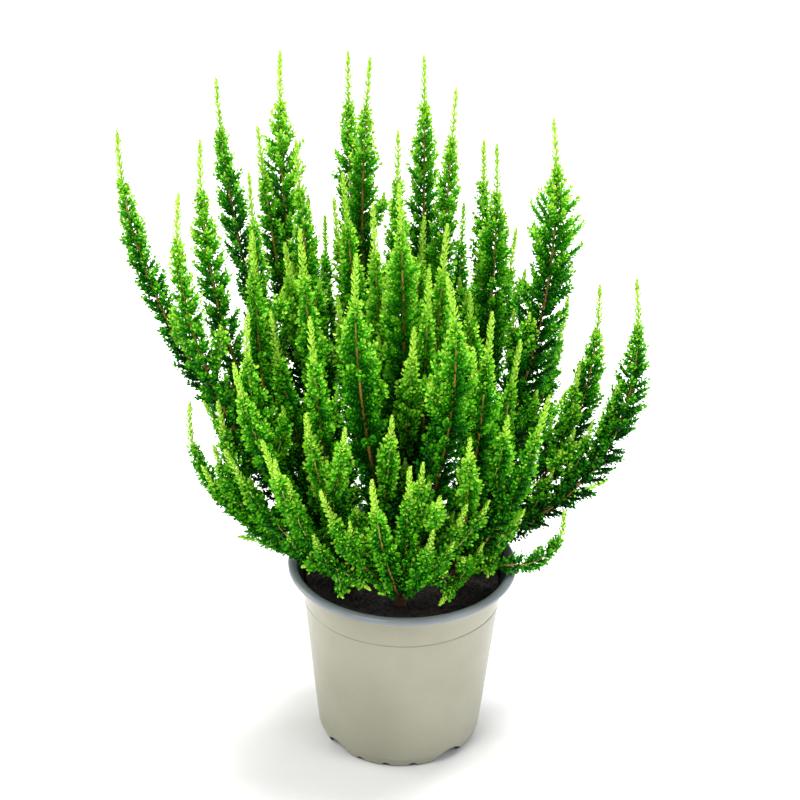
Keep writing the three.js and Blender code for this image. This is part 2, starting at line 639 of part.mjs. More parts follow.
// Each leafy stem, with the stems that fork off it.
STEMS.filter((stem) => !stem.from).forEach((main, i) => {
  const family = STEMS.filter((stem) => mainStemOf(stem) === main);
  const body = family.map(leafyStem).reduce((whole, piece) => whole.add(piece));
  addNode(`leafy_stem_${String(i + 1).padStart(2, "0")}`, body, leaf);
});

export default heather;
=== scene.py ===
# A potted heather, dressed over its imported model: a satin greige nursery pot with a grey lip, crumbly
# peat, thin brown bark, and every leafy stem with its side shoots and scale leaves.
import json
import math
import bpy
import numpy as np
from mathutils import Matrix

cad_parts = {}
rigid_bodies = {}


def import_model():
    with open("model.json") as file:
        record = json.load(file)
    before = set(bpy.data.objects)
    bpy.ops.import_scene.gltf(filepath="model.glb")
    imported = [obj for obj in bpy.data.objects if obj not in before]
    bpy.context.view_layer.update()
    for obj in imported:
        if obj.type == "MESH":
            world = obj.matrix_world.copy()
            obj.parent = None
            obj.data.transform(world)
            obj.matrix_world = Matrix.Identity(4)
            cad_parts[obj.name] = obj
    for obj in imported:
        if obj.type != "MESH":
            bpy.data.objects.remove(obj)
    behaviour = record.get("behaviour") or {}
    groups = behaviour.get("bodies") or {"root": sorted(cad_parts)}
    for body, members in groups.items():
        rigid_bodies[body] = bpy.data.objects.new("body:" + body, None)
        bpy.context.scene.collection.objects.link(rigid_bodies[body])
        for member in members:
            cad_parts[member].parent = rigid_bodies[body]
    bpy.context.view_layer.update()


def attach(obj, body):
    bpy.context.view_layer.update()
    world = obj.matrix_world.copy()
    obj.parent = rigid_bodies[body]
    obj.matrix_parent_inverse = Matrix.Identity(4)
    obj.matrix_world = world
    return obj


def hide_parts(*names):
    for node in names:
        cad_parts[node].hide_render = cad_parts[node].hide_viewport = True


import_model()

MM = 0.001
TURN = 2 * math.pi

# Pot, with lengths in millimetres, as in the solids
POT_HEIGHT = 104
RIM_RADIUS = 60
WALL_TOP_RADIUS = 52.8
WALL_FOOT_RADIUS = 43.6
BASE_RADIUS = 40
WALL = 1.2
SHOULDER_DROP = 9
GROOVE_DROP = 21
FOOT_ROUNDING = 8
FOOT_COUNT = 4
FOOT_TURN = math.radians(-5)
CHANNEL_HEIGHT = 6.2
CHANNEL_INNER = 16
CHANNEL_OUTER = 34

# Pot, finer than in the solids: gaps between its feet, the step above them and notches in its lower edge
POT_SEGMENTS = 288
FOOT_GAP_LIFT = 7
FOOT_GAP_HALF_WIDTH = math.radians(12.5)
FOOT_STEP = 5.2
NOTCH_COUNT = 18
NOTCH_TURN = math.radians(-99)
NOTCH_HALF_WIDTH = math.radians(3.4)
NOTCH_HEIGHT = 2.9

# Peat and cuttings, with lengths in millimetres, as in the solids
PEAT_EDGE = 94
PEAT_CROWN = 96.5
CUTTING_RING = 31
CUTTINGS_IN_RING = 6
ROOTS_INWARD = 0.38
TRUNK_RADIUS = 3.2
FORK_HEIGHT = 6
BRANCH_LENGTH = 16
BRANCH_ROOT_RADIUS = 1.7

# Stems, with lengths in millimetres or as shares of the stem's length, as in the solids
PATH_POINTS = 15
BARE_TIP = 30
BARE_TIP_SHARE = 0.24
BARE_FOOT_SHARE = 0.3
TIP_REACH = 2.1
END_REACH = 1.5
LOW_REACH = 0.6
LEAST_FORK = 0.04

# What the stems stay above: pairs of distance from the pot's axis and height, out to past the lip
GROUND = ((30, PEAT_CROWN), (46, POT_HEIGHT))
GROUND_CLEARANCE = 1.5
LIP_MARGIN = 8

# Easing of neighbouring stems apart, mostly in depth, as in the solids
EASING_ROUNDS = 60
EASING_REACH = 0.8
EASING_PULL = 0.25
EASING_BIAS = np.array([0.2, 1.0, 0.2])
EASING_GIVE = 4
EASING_SPREAD = (0.3, 0.6, 0.3)

# The camera of the main view, which the stems' tips are read off
EYE = np.array([-2.9, -938.0, 675.0])
PITCH = math.radians(27)
ROLL = math.radians(1.2)
FOCAL = 2090.0
FRAME_WIDTH = 800.0
CENTRE = FRAME_WIDTH / 2
SENSOR_WIDTH = 36


def stem(name, tip, depth, reach, via=None, bow=0.45, fork=(None, 0)):
    """A stem: its tip as seen in the view, how far behind the pot's axis that is, and the reach of its
    side shoots. via is a point that it passes half way along, bow how far its foot sweeps outwards, and
    fork the stem that it forks off, with the share of that stem's leafy part below the fork."""
    parent, share = fork
    return dict(name=name, tip=tip, depth=depth, reach=reach, via=via, bow=bow, parent=parent, fork=share)


STEMS = [
    # Left side
    stem("a1", (117, 134), 12, 6.6, via=(184, 350)),
    stem("a2", (178, 197), -34, 6.4, via=(216, 392)),
    stem("a3", (200, 144), -4, 7.4, via=(237, 366)),
    stem("a4", (216, 81), 62, 7.4, via=(259, 318)),
    stem("a5", (249, 176), 26, 5.2, fork=("a3", 0.2)),
    stem("a6", (258, 130), 40, 6, fork=("a7", 0.3)),
    stem("a7", (280, 54), 50, 10.4, via=(297, 318)),
    stem("a8", (296, 143), 22, 6.4),
    stem("a9", (308, 198), 76, 5),
    stem("a10", (325, 219), 84, 5, fork=("a9", 0.3)),
    stem("a11", (300, 232), -24, 5.6),
    stem("a12", (252, 234), -16, 6, fork=("a3", 0.3)),
    # Middle, tall
    stem("b1", (348, 55), 66, 7.6, via=(361, 312)),
    stem("b2", (370, 61), 50, 7.4, via=(363, 262), fork=("b1", 0.16)),
    stem("b3", (343, 176), 14, 6),
    stem("b4", (334, 201), 30, 5, fork=("b3", 0.3)),
    stem("b5", (398, 134), 22, 6.4),
    stem("b6", (399, 187), -30, 10, via=(404, 372)),
    stem("b7", (373, 207), -4, 5.2),
    stem("b8", (424, 59), 58, 8, via=(420, 312)),
    stem("b9", (456, 91), 42, 7),
    stem("b10", (447, 227), -14, 7),
    stem("b11", (464, 206), 80, 5.6, fork=("k4", 0.35)),
    stem("b12", (484, 143), 60, 5.6, fork=("b13", 0.45)),
    stem("b13", (497, 147), 40, 9.2, via=(487, 341)),
    stem("b14", (516, 231), 66, 5.4, fork=("b13", 0.25)),
    # Right side
    stem("c1", (554, 122), 12, 12.4, via=(537, 336)),
    stem("c2", (600, 288), 26, 8.8, via=(560, 452)),
    stem("c3", (637, 283), 2, 8.2, via=(598, 462)),
    stem("c4", (568, 299), 62, 7.4, bow=0.8),
    stem("c5", (549, 398), -40, 6),
    stem("c6", (520, 343), -18, 7),
    stem("c7", (492, 315), -48, 8.4),
    stem("c8", (514, 312), 20, 6, fork=("c1", 0.3)),
    stem("c9", (605, 481), 48, 4.6, via=(548, 506)),
    stem("c10", (564, 513), -8, 4.8, via=(538, 560)),
    stem("c11", (566, 392), 80, 6, bow=0.8, fork=("k6", 0.3)),
    # Front left
    stem("d1", (248, 316), -42, 7, via=(268, 445)),
    stem("d2", (271, 315), -20, 6.4),
    stem("d3", (310, 320), -58, 6.4),
    stem("d4", (234, 366), -56, 6.6, fork=("d1", 0.25)),
    stem("d5", (306, 416), -64, 5.2, fork=("d3", 0.25)),
    stem("d6", (190, 405), -14, 5.6, via=(225, 498)),
    stem("d7", (263, 443), -66, 4.6),
    stem("d8", (275, 462), -72, 4.2, fork=("d7", 0.4)),
    stem("d9", (288, 481), -68, 4.2, fork=("d7", 0.25)),
    stem("d10", (321, 493), -76, 4.6),
    stem("d11", (218, 404), -34, 6.6, fork=("d6", 0.3)),
    # Front middle
    stem("e1", (356, 257), -62, 9.4, via=(364, 418)),
    stem("e2", (429, 271), -34, 5.2, fork=("b10", 0.25)),
    stem("e3", (448, 280), -66, 9.4, via=(450, 418)),
    stem("e6", (410, 469), -78, 5.6),
    stem("e7", (423, 465), -70, 5, fork=("e6", 0.35)),
    stem("e8", (372, 483), -84, 6.2),
    # Low shoots over the rim
    stem("f6", (350, 524), -70, 4.2, fork=("d10", 0.3)),
    stem("f7", (314, 536), -58, 4.2),
    stem("f8", (305, 566), -44, 3.8, fork=("f7", 0.4)),
    stem("f9", (368, 588), -54, 3.8, fork=("f7", 0.35)),
    stem("f10", (342, 603), -45, 3.4, fork=("f9", 0.2)),
    stem("f11", (384, 592), -50, 3.6, fork=("e8", 0.12)),
    stem("g2", (433, 532), -76, 4.8),
    stem("g3", (453, 544), -64, 4.4, fork=("g2", 0.3)),
    stem("g4", (466, 507), -60, 5),
    stem("g5", (488, 503), -48, 5.2, fork=("g4", 0.3)),
    stem("g6", (440, 498), -82, 5.4, fork=("e3", 0.18)),
    stem("g7", (482, 545), -34, 4.2),
    stem("g8", (523, 512), -14, 5),
    stem("g9", (463, 558), -54, 4, fork=("g7", 0.3)),
    stem("g10", (441, 603), -52, 3.4, fork=("g7", 0.25)),
    stem("g12", (488, 574), -26, 3.4, fork=("g8", 0.3)),
    stem("h1", (241, 537), -8, 4.4, via=(292, 550)),
    # Short shoots in the mouth of the pot
    stem("j1", (371, 486), 28, 5, fork=("a8", 0.04)),
    stem("j2", (370, 516), -4, 5.2, fork=("b3", 0.04)),
    stem("j3", (436, 510), 8, 5.2, fork=("b9", 0.04)),
    stem("j4", (437, 476), 34, 5, fork=("b13", 0.04)),
    stem("j5", (434, 522), -24, 5, fork=("c7", 0.04)),
    stem("j6", (370, 540), -28, 5, fork=("d3", 0.04)),
    stem("j7", (500, 530), -26, 4.6, fork=("c6", 0.04)),
    stem("j8", (366, 562), -46, 4.4, fork=("e1", 0.04)),
    stem("j9", (446, 572), -50, 4.2, fork=("g4", 0.04)),
    stem("j10", (301, 534), -30, 4.4, fork=("d1", 0.04)),
    # Fillers inside the bush
    stem("i1", (384, 296), -8, 6.4, fork=("b7", 0.35)),
    stem("i2", (414, 330), -52, 6.2, fork=("b6", 0.25)),
    stem("i3", (470, 296), 8, 6.6, fork=("b13", 0.28)),
    stem("i4", (474, 352), -30, 6, fork=("c7", 0.25)),
    stem("i5", (338, 300), -8, 6.6, fork=("b3", 0.3)),
    stem("i6", (392, 418), -62, 5.6, fork=("e1", 0.2)),
    stem("i7", (508, 418), -50, 6, fork=("c6", 0.3)),
    stem("i8", (226, 452), -44, 6.2),
    stem("i9", (345, 430), -78, 5.6, fork=("d3", 0.3)),
    stem("i10", (536, 448), -26, 6, fork=("c5", 0.3)),
    stem("i11", (285, 246), 6, 6.6, fork=("a8", 0.3)),
    stem("i12", (560, 452), 6, 5.4, fork=("c2", 0.35)),
    stem("i13", (424, 220), 30, 6.4, fork=("b5", 0.25)),
    stem("i14", (250, 480), -34, 5, fork=("d6", 0.25)),
    stem("i15", (470, 440), -72, 5.6, fork=("c7", 0.2)),
    # Back, behind the stems above
    stem("k1", (282, 205), 96, 7),
    stem("k2", (352, 190), 104, 7.4),
    stem("k3", (428, 184), 100, 7.4),
    stem("k4", (492, 222), 92, 7.4),
    stem("k5", (250, 292), 74, 6.8),
    stem("k6", (540, 300), 88, 6.4),
    stem("k7", (396, 240), 92, 7.4, fork=("k2", 0.3)),
    stem("k8", (330, 290), 106, 6.2, bow=0.8),
    stem("k9", (448, 300), 108, 6.2, bow=0.8),
    stem("k10", (232, 392), 48, 5.6, fork=("k5", 0.35)),
    stem("k11", (300, 380), 92, 5.4, fork=("k8", 0.3)),
    stem("k12", (390, 340), 112, 5.8, fork=("k2", 0.2)),
    stem("k13", (500, 370), 100, 5.4, fork=("k9", 0.4)),
    stem("k14", (338, 442), 100, 4.6, fork=("k8", 0.12)),
    stem("k15", (472, 440), 94, 4.6, fork=("k9", 0.2)),
]

# Thin stems beside the outer ones, which the solids don't have
FINE_STEMS = [
    stem("m1", (205, 404), 4, 5.4, fork=("a1", 0.12)),
    stem("m2", (214, 448), -28, 4.6, fork=("d6", 0.3)),
    stem("m3", (203, 468), -22, 4.2, fork=("d6", 0.22)),
    stem("m4", (579, 368), 16, 5.6, fork=("c2", 0.34)),
    stem("m5", (616, 388), 6, 5.2, fork=("c3", 0.38)),
    stem("m6", (592, 424), 10, 5, fork=("c3", 0.22)),
    stem("m7", (553, 470), 12, 5, fork=("c3", 0.1)),
]


# Growth of the stems, by the same rule as the solids

def lerp(a, b, t):
    return a + (b - a) * t


def clamp(value, low, high):
    return max(low, min(high, value))


def profile(pairs, at):
    """The value at a place, read off pairs of place and value."""
    places, values = zip(*pairs)
    return np.interp(at, places, values)


def ground_under(x, y):
    """The height that a stem has to stay above, so that it clears the peat, the rim and the lip."""
    r = math.hypot(x, y)
    if r > RIM_RADIUS + LIP_MARGIN:
        return 0.0
    return profile(GROUND, r) + GROUND_CLEARANCE


def seen_at(pixel, depth):
    """The point that is seen at a pixel of the view, at a given depth behind the pot's axis."""
    right = pixel[0] - CENTRE
    up = CENTRE - pixel[1]
    a = (right * math.cos(ROLL) - up * math.sin(ROLL)) / FOCAL
    b = (right * math.sin(ROLL) + up * math.cos(ROLL)) / FOCAL
    forward = math.cos(PITCH) + b * math.sin(PITCH)
    rise = b * math.cos(PITCH) - math.sin(PITCH)
    reach = (depth - EYE[1]) / forward
    return np.array([EYE[0] + reach * a, depth, EYE[2] + reach * rise])


def along_path(path, t):
    """The point at a share of the way along a path."""
    at = clamp(t, 0, 1) * (len(path) - 1)
    k = min(int(at), len(path) - 2)
    return lerp(path[k], path[k + 1], at - k)


def run_along(points):
    """The distance of each point from the first one, along the line."""
    return np.concatenate([[0], np.cumsum(np.linalg.norm(np.diff(points, axis=0), axis=1))])


def path_length(path):
    return float(run_along(path)[-1])


def bare_foot(length):
    """How much of a stem's foot is bark without leaves."""
    return min(BRANCH_LENGTH, BARE_FOOT_SHARE * length)


def bare_tip(length):
    """How much of a stem's tip has leaves but no side shoots."""
    return min(BARE_TIP, BARE_TIP_SHARE * length)


def quadratic(start, bend, end, t):
    return (1 - t) ** 2 * start + 2 * t * (1 - t) * bend + t * t * end


def evenly_spaced(start, bend, end):
    """Points at even distances along a quadratic curve."""
    t = np.linspace(0, 1, 201)
    run = run_along(quadratic(start, bend, end, t[:, None]))
    wanted = np.interp(np.linspace(0, run[-1], PATH_POINTS), run, t)
    return quadratic(start, bend, end, wanted[:, None])


def grow_path(one, start):
    """A stem leaves its fork outwards and turns up towards its tip."""
    tip = seen_at(one["tip"], one["depth"])
    if one["via"]:
        middle = seen_at(one["via"], lerp(start[1], one["depth"], 0.62))
        bend = 2 * middle - 0.5 * start - 0.5 * tip
    else:
        out = lerp(0.5, 0.9, one["bow"])
        bend = start + (tip - start) * np.array([out, out, lerp(0.5, 0.25, one["bow"])])
    return evenly_spaced(start, bend, tip)


def leaf_reach(one, from_tip, length):
    """How far the leaves and side shoots reach from the axis, at a distance from the tip."""
    bare = bare_tip(length)
    if from_tip < bare:
        return lerp(END_REACH, TIP_REACH, from_tip / bare)
    widened = clamp((from_tip - bare) / (bare * 0.9), 0, 1)
    full = lerp(TIP_REACH + 0.6, one["reach"], widened)
    low = clamp((length - from_tip - bare_foot(length)) / (0.3 * length), 0, 1)
    return full * lerp(LOW_REACH, 1, low)


# Where the cuttings fork: one in the middle and a ring round it
FORKS = [np.array([0.0, 2.0, PEAT_CROWN + FORK_HEIGHT])]
for place in range(CUTTINGS_IN_RING):
    turn = math.pi / 6 + place * TURN / CUTTINGS_IN_RING
    x = CUTTING_RING * math.cos(turn)
    y = CUTTING_RING * math.sin(turn)
    FORKS.append(np.array([x, y, PEAT_CROWN + FORK_HEIGHT]))

by_name = {one["name"]: one for one in STEMS}


def main_of(one):
    """The stem whose node this one belongs to."""
    return main_of(by_name[one["parent"]]) if one["parent"] else one


def fork_point(one):
    """Where a side stem leaves its parent."""
    parent = by_name[one["parent"]]
    length = path_length(parent["path"])
    leafy_from = 0 if parent["parent"] else bare_foot(length) / length
    return along_path(parent["path"], lerp(leafy_from, 1, max(one["fork"], LEAST_FORK)))


def nearest_fork(one):
    """The cutting nearest to a point part of the way out to a stem's tip, from which the stem grows."""
    root = ROOTS_INWARD * seen_at(one["tip"], one["depth"])[:2]
    return int(np.argmin([np.linalg.norm(fork[:2] - root) for fork in FORKS]))


def grow(one):
    if "path" in one:
        return
    if one["parent"]:
        grow(by_name[one["parent"]])
        start = fork_point(one)
    else:
        one["fork_at"] = nearest_fork(one)
        start = FORKS[one["fork_at"]].copy()
    one["path"] = grow_path(one, start)


def pushes(points, wanted_all, upper, give):
    """How far each point of the stems is pushed by the points that are too near to it."""
    squares = (points ** 2).sum(1)
    apart2 = squares[:, None] + squares[None, :] - 2 * points @ points.T
    first, second = np.nonzero(upper & (apart2 < wanted_all ** 2))
    push = points[first] - points[second]
    apart = np.linalg.norm(push, axis=1)
    wanted = wanted_all[first, second]
    keep = (apart < wanted) & (apart > 1e-6)
    first, second, push, apart, wanted = (values[keep] for values in (first, second, push, apart, wanted))
    push = push * (EASING_PULL * (wanted - apart) / apart)[:, None] * EASING_BIAS
    moves = np.zeros_like(points)
    np.add.at(moves, first, push * give[first][:, None])
    np.add.at(moves, second, -push * give[second][:, None])
    return moves.reshape(len(STEMS), PATH_POINTS, 3)


def lift_off_ground(path, shares, reach):
    """Lifts a path half of the way to where it clears what is under it."""
    for k, t in enumerate(shares):
        floor = ground_under(path[k, 0], path[k, 1]) + min(3.5, reach) * min(1, t * 5)
        if t > 0.1 and path[k, 2] < floor:
            path[k, 2] = lerp(path[k, 2], floor, 0.5)


def ease_apart():
    """Eases neighbouring stems apart, mostly in depth, while their feet stay at their forks."""
    shares = np.linspace(0, 1, PATH_POINTS)
    mains = [main_of(one)["name"] for one in STEMS]
    main_index = np.repeat([mains.index(name) for name in mains], PATH_POINTS)
    lengths = [path_length(one["path"]) for one in STEMS]
    reach = np.array([
        leaf_reach(one, (1 - t) * length, length) * EASING_REACH
        for one, length in zip(STEMS, lengths) for t in shares
    ])
    give = np.tile(np.minimum(1, shares * EASING_GIVE), len(STEMS))
    upper = np.triu(main_index[:, None] != main_index[None, :], 1)
    wanted_all = reach[:, None] + reach[None, :]
    from_before, from_own, from_after = EASING_SPREAD
    for _ in range(EASING_ROUNDS):
        points = np.concatenate([one["path"] for one in STEMS])
        moves = pushes(points, wanted_all, upper, give)
        for one, move in zip(STEMS, moves):
            before = np.vstack([move[:1], move[:-1]])
            after = np.vstack([move[1:], move[-1:]])
            path = one["path"] + from_before * before + from_own * move + from_after * after
            lift_off_ground(path, shares, one["reach"])
            if one["parent"]:
                path += (fork_point(one) - path[0]) * (1 - shares)[:, None]
            else:
                path[0] = FORKS[one["fork_at"]]
            one["path"] = path


for one in STEMS:
    grow(one)
ease_apart()
for one in FINE_STEMS:
    grow(one)


# Curves and frames

def smooth_line(path, step=1.5):
    """Points, tangents and two directions across, at even steps along a smooth curve through a path."""
    ends = np.vstack([2 * path[0] - path[1], path, 2 * path[-1] - path[-2]])
    dense = []
    for k in range(1, len(ends) - 2):
        p0, p1, p2, p3 = ends[k - 1:k + 3]
        for t in np.linspace(0, 1, 12, endpoint=False):
            dense.append(0.5 * (2 * p1 + (p2 - p0) * t + (2 * p0 - 5 * p1 + 4 * p2 - p3) * t * t
                                + (3 * p1 - p0 - 3 * p2 + p3) * t ** 3))
    dense = np.array(dense + [path[-1]])
    run = run_along(dense)
    count = max(6, int(run[-1] / step) + 1)
    at = np.linspace(0, run[-1], count)
    points = np.stack([np.interp(at, run, dense[:, i]) for i in range(3)], 1)
    tangents = np.gradient(points, axis=0)
    tangents /= np.linalg.norm(tangents, axis=1)[:, None]
    sides = np.zeros_like(points)
    side = np.array([1.0, 0.0, 0.0])
    for k in range(count):
        side = side - tangents[k] * (side @ tangents[k])
        side /= np.linalg.norm(side)
        sides[k] = side
    return dict(run=at, length=run[-1], points=points, tangents=tangents, sides=sides,
                acrosses=np.cross(tangents, sides))


def read_line(line, at, key):
    values = np.stack([np.interp(at, line["run"], line[key][:, i]) for i in range(3)], -1)
    if key != "points":
        values /= np.linalg.norm(values, axis=-1, keepdims=True)
    return values


def unit(vectors):
    return vectors / np.maximum(np.linalg.norm(vectors, axis=-1, keepdims=True), 1e-9)


def around(turn, side, across):
    """The direction at an angle round an axis, from one direction across it towards another."""
    return np.cos(turn) * side + np.sin(turn) * across


def leaning(lean, ahead, radial):
    """The direction that leans by an angle from ahead to a radial one."""
    return unit(around(lean, ahead, radial))


# Meshes

class Soup:
    """Collects triangles with a colour at each point, then makes one mesh of them."""

    def __init__(self):
        self.points = []
        self.faces = []
        self.colours = []
        self.count = 0

    def add(self, points, faces, colours):
        self.points.append(points)
        self.faces.append(faces + self.count)
        self.colours.append(colours)
        self.count += len(points)

    def mesh(self, name, smooth=True):
        points = np.concatenate(self.points) * MM
        faces = np.concatenate(self.faces)
        colours = np.concatenate(self.colours)
        data = bpy.data.meshes.new(name)
        data.vertices.add(len(points))
        data.vertices.foreach_set("co", points.astype(np.float32).ravel())
        data.loops.add(faces.size)
        data.loops.foreach_set("vertex_index", faces.astype(np.int32).ravel())
        data.polygons.add(len(faces))
        data.polygons.foreach_set("loop_start", np.arange(0, faces.size, 3, dtype=np.int32))
        data.polygons.foreach_set("use_smooth", np.full(len(faces), smooth))
        layer = data.color_attributes.new("tint", "FLOAT_COLOR", "POINT")
        rgba = np.concatenate([colours, np.ones((len(colours), 1))], 1)
        layer.data.foreach_set("color", rgba.astype(np.float32).ravel())
        data.update(calc_edges=True)
        data.validate()
        return data


def new_object(name, data):
    made = bpy.data.objects.new(name, data)
    bpy.context.scene.collection.objects.link(made)
    return made


def put(name, data, materials, slot, *nodes):
    """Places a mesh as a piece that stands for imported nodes."""
    piece = new_object(name, data)
    for material in materials:
        data.materials.append(material)
    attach(piece, "root")
    if nodes:
        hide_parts(*nodes)
    return piece


def part_of(line, keep):
    """Some points of a line, with their directions."""
    return {key: line[key][keep] for key in ("run", "points", "tangents", "sides", "acrosses")}


def tube(soup, line, radii, sides, colours, wobble=0.0, rng=None):
    """A round tube along a line, with a radius and a colour at each point, and a pointed end."""
    count = len(line["points"])
    turns = (np.arange(sides) * TURN / sides)[None, :, None]
    radii = np.asarray(radii)[:, None, None]
    ring = around(turns, line["sides"][:, None], line["acrosses"][:, None])
    points = line["points"][:, None] + radii * ring
    if wobble and rng is not None:
        points = points + ring * rng.normal(0, wobble, (count, sides, 1))
    end = line["points"][-1] + line["tangents"][-1] * radii[-1, 0, 0]
    points = np.vstack([points.reshape(-1, 3), end])
    last = (count - 1) * sides
    faces = []
    for j in range(sides):
        a = np.arange(count - 1) * sides + j
        b = np.arange(count - 1) * sides + (j + 1) % sides
        faces += [np.stack([a, b, b + sides], 1), np.stack([a, b + sides, a + sides], 1)]
        faces.append(np.array([[last + j, last + (j + 1) % sides, count * sides]]))
    tints = np.vstack([np.repeat(colours, sides, axis=0), colours[-1:]])
    soup.add(points, np.concatenate(faces), tints)


# Foliage

# Colours from the oldest, shaded leaves to the newest at the tips
FRESHNESS = np.linspace(0, 1, 5)
GREENS = np.array([
    [0.002, 0.040, 0.001],
    [0.005, 0.145, 0.001],
    [0.025, 0.35, 0.002],
    [0.19, 0.64, 0.006],
    [0.56, 0.84, 0.09],
])
BARK_OLD = np.array([0.10, 0.042, 0.014])
BARK_YOUNG = np.array([0.46, 0.25, 0.04])
BARK_TIP = np.array([0.56, 0.62, 0.14])

# Leaves and nodes, in millimetres
LEAF_LENGTH = 2.6
LEAF_WIDTH = 1.85
LEAF_PAIR_SPACING = 1.33
TIP_LEAF_LENGTH = 2.9
TIP_NODE_SPACING = 1.9
SHOOT_NODE_SPACING = 2.3
LOW_NODE_SPACING = 3.1

# Side shoots: radius in millimetres, bend along their length, length as a multiple of the stem's reach,
# and what turns them up, added to the direction of their stem
SHOOT_CORE = 1.15
SHOOT_BEND = 0.5
FULLNESS = 1.28
UPRIGHT = np.array([0.0, 0.0, 0.8])

# Sprigs: lengths in millimetres, places as shares of their stem, how outward they may be, and the painted
# shade that darkens them
SPRIG_LEAST_STEM = 85
SPRIG_SPACING = 21
SPRIG_LENGTH = (18, 34)
SPRIG_REACH = (3.6, 5.0)
SPRIGS_FROM = 0.15
SPRIGS_TO = 0.6
SPRIG_OUTWARD_LIMIT = 0.35
SPRIG_SHADE = 0.12
GOLDEN_TURN = math.radians(137.5)

# The first seeds of the cuttings, the stems, the places of their sprigs and the sprigs themselves
CUTTING_SEED = 300
STEM_SEED = 1000
SPRIG_SEED = 3000
TWIG_SEED = 5000
SEEDS_A_STEM = 100

# Pairs of place and value, with leans in degrees and radii in millimetres.
# Places here are millimetres from the stem's tip
AXIS_RADIUS = ((0, 0.25), (25, 0.45), (90, 0.75), (250, 1.15))
AXIS_LIME = ((18, 1), (55, 0))
AXIS_BROWN = ((60, 0), (190, 1))
TIP_LEAF_LEAN = ((0, 10), (3, 26), (10, 38), (40, 48))
TIP_LEAF_SIZE = ((0, 0.75), (6, 0.95), (30, 1.05))
TIP_FRESHNESS = ((0, 1.0), (12, 0.95), (30, 0.80), (45, 0.5), (70, 0.25))
SHOOT_FRESHNESS = ((15, 0.97), (45, 0.84), (90, 0.64), (150, 0.50), (220, 0.40))
# Places here are shares of the stem from its tip, and of the side shoot from its foot
SHOOT_LEAN = ((0, 48), (0.3, 60), (0.7, 68), (1, 70))
SHOOT_LEAF_LEAN = ((0, 44), (0.5, 56), (0.8, 50), (1, 24))
# Places here are millimetres over the peat. Lower leaves are older and also darkened as painted shade, and
# stems whose tips lie low get painted shade
HEIGHT_AGE_AND_SHADE = ((0, -0.32), (60, -0.28), (150, -0.12), (250, 0.04))
LOW_STEM_SHADE = ((20, 0.10), (120, 0))


def green(freshness):
    freshness = np.clip(freshness, 0, 1)
    return np.stack([np.interp(freshness, FRESHNESS, GREENS[:, i]) for i in range(3)], -1)


def copies(faces, points_each, count):
    """The faces of one small shape, repeated for a number of copies of it."""
    return (faces[None] + points_each * np.arange(count)[:, None, None]).reshape(-1, 3)


LEAF_FACES = np.array([[0, 5, 1], [1, 5, 3], [3, 5, 4], [4, 5, 2], [2, 5, 0]])


def add_leaves(soup, base, along, outward, length, width, foot_tint, tip_tint):
    """Blunt keeled leaves: base point, direction, outer side, size and the colours of foot and tip."""
    across = unit(np.cross(along, outward))
    outward = unit(np.cross(across, along))
    length = length[:, None]
    width = width[:, None]
    broad = base + 0.55 * length * along
    blunt = base + length * along - 0.08 * length * outward
    corners = np.stack([
        base,
        broad - 0.5 * width * across,
        broad + 0.5 * width * across,
        blunt - 0.33 * width * across,
        blunt + 0.33 * width * across,
        broad + 0.20 * length * along + 0.32 * width * outward,
    ], 1)
    # Darker at the foot and lighter towards the tip and keel: painted shade where leaves crowd, painted
    # highlight on their blunt ends
    edge_tint = lerp(foot_tint, tip_tint, 0.5)
    keel_tint = lerp(foot_tint, tip_tint, 0.8)
    tints = np.stack([foot_tint, edge_tint, edge_tint, tip_tint, tip_tint, keel_tint], 1)
    faces = copies(LEAF_FACES, corners.shape[1], len(base))
    soup.add(corners.reshape(-1, 3), faces, tints.reshape(-1, 3))


class Shoots:
    """Side shoots that leave a stem outwards and bend up along it."""

    def __init__(self, origin, along, upward, length):
        self.origin = origin
        self.along = along
        self.upward = upward
        self.length = length[:, None]
        self.side = unit(np.cross(along, upward))

    def point(self, share):
        run = share * self.length
        ahead = self.along * (1 - 0.5 * SHOOT_BEND * share)
        return self.origin + run * (ahead + 0.5 * SHOOT_BEND * share * self.upward)

    def frame(self, share):
        ahead = unit(self.along * (1 - SHOOT_BEND * share) + self.upward * SHOOT_BEND * share)
        flat = unit(self.side - ahead * (self.side * ahead).sum(1, keepdims=True))
        return ahead, flat, np.cross(ahead, flat)


def add_cores(soup, shoots, tints):
    """The slim spindles of the side shoots, under their leaves."""
    sides = 3
    rings = ((0.0, 0.4), (0.4, 1.0), (0.85, 0.9))
    points = []
    for share, swell in rings:
        _, flat, upright = shoots.frame(share)
        for j in range(sides):
            radial = around(j * TURN / sides, flat, upright)
            points.append(shoots.point(share) + SHOOT_CORE * swell * radial)
    points.append(shoots.point(1.0))
    faces = []
    for ring in range(len(rings) - 1):
        for j in range(sides):
            a = ring * sides + j
            b = ring * sides + (j + 1) % sides
            faces += [[a, b, b + sides], [a, b + sides, a + sides]]
    last = (len(rings) - 1) * sides
    faces += [[last + j, last + (j + 1) % sides, last + sides] for j in range(sides)]
    all_faces = copies(np.array(faces), len(points), len(shoots.origin))
    all_tints = np.repeat(tints, len(points), axis=0)
    soup.add(np.stack(points, 1).reshape(-1, 3), all_faces, all_tints)


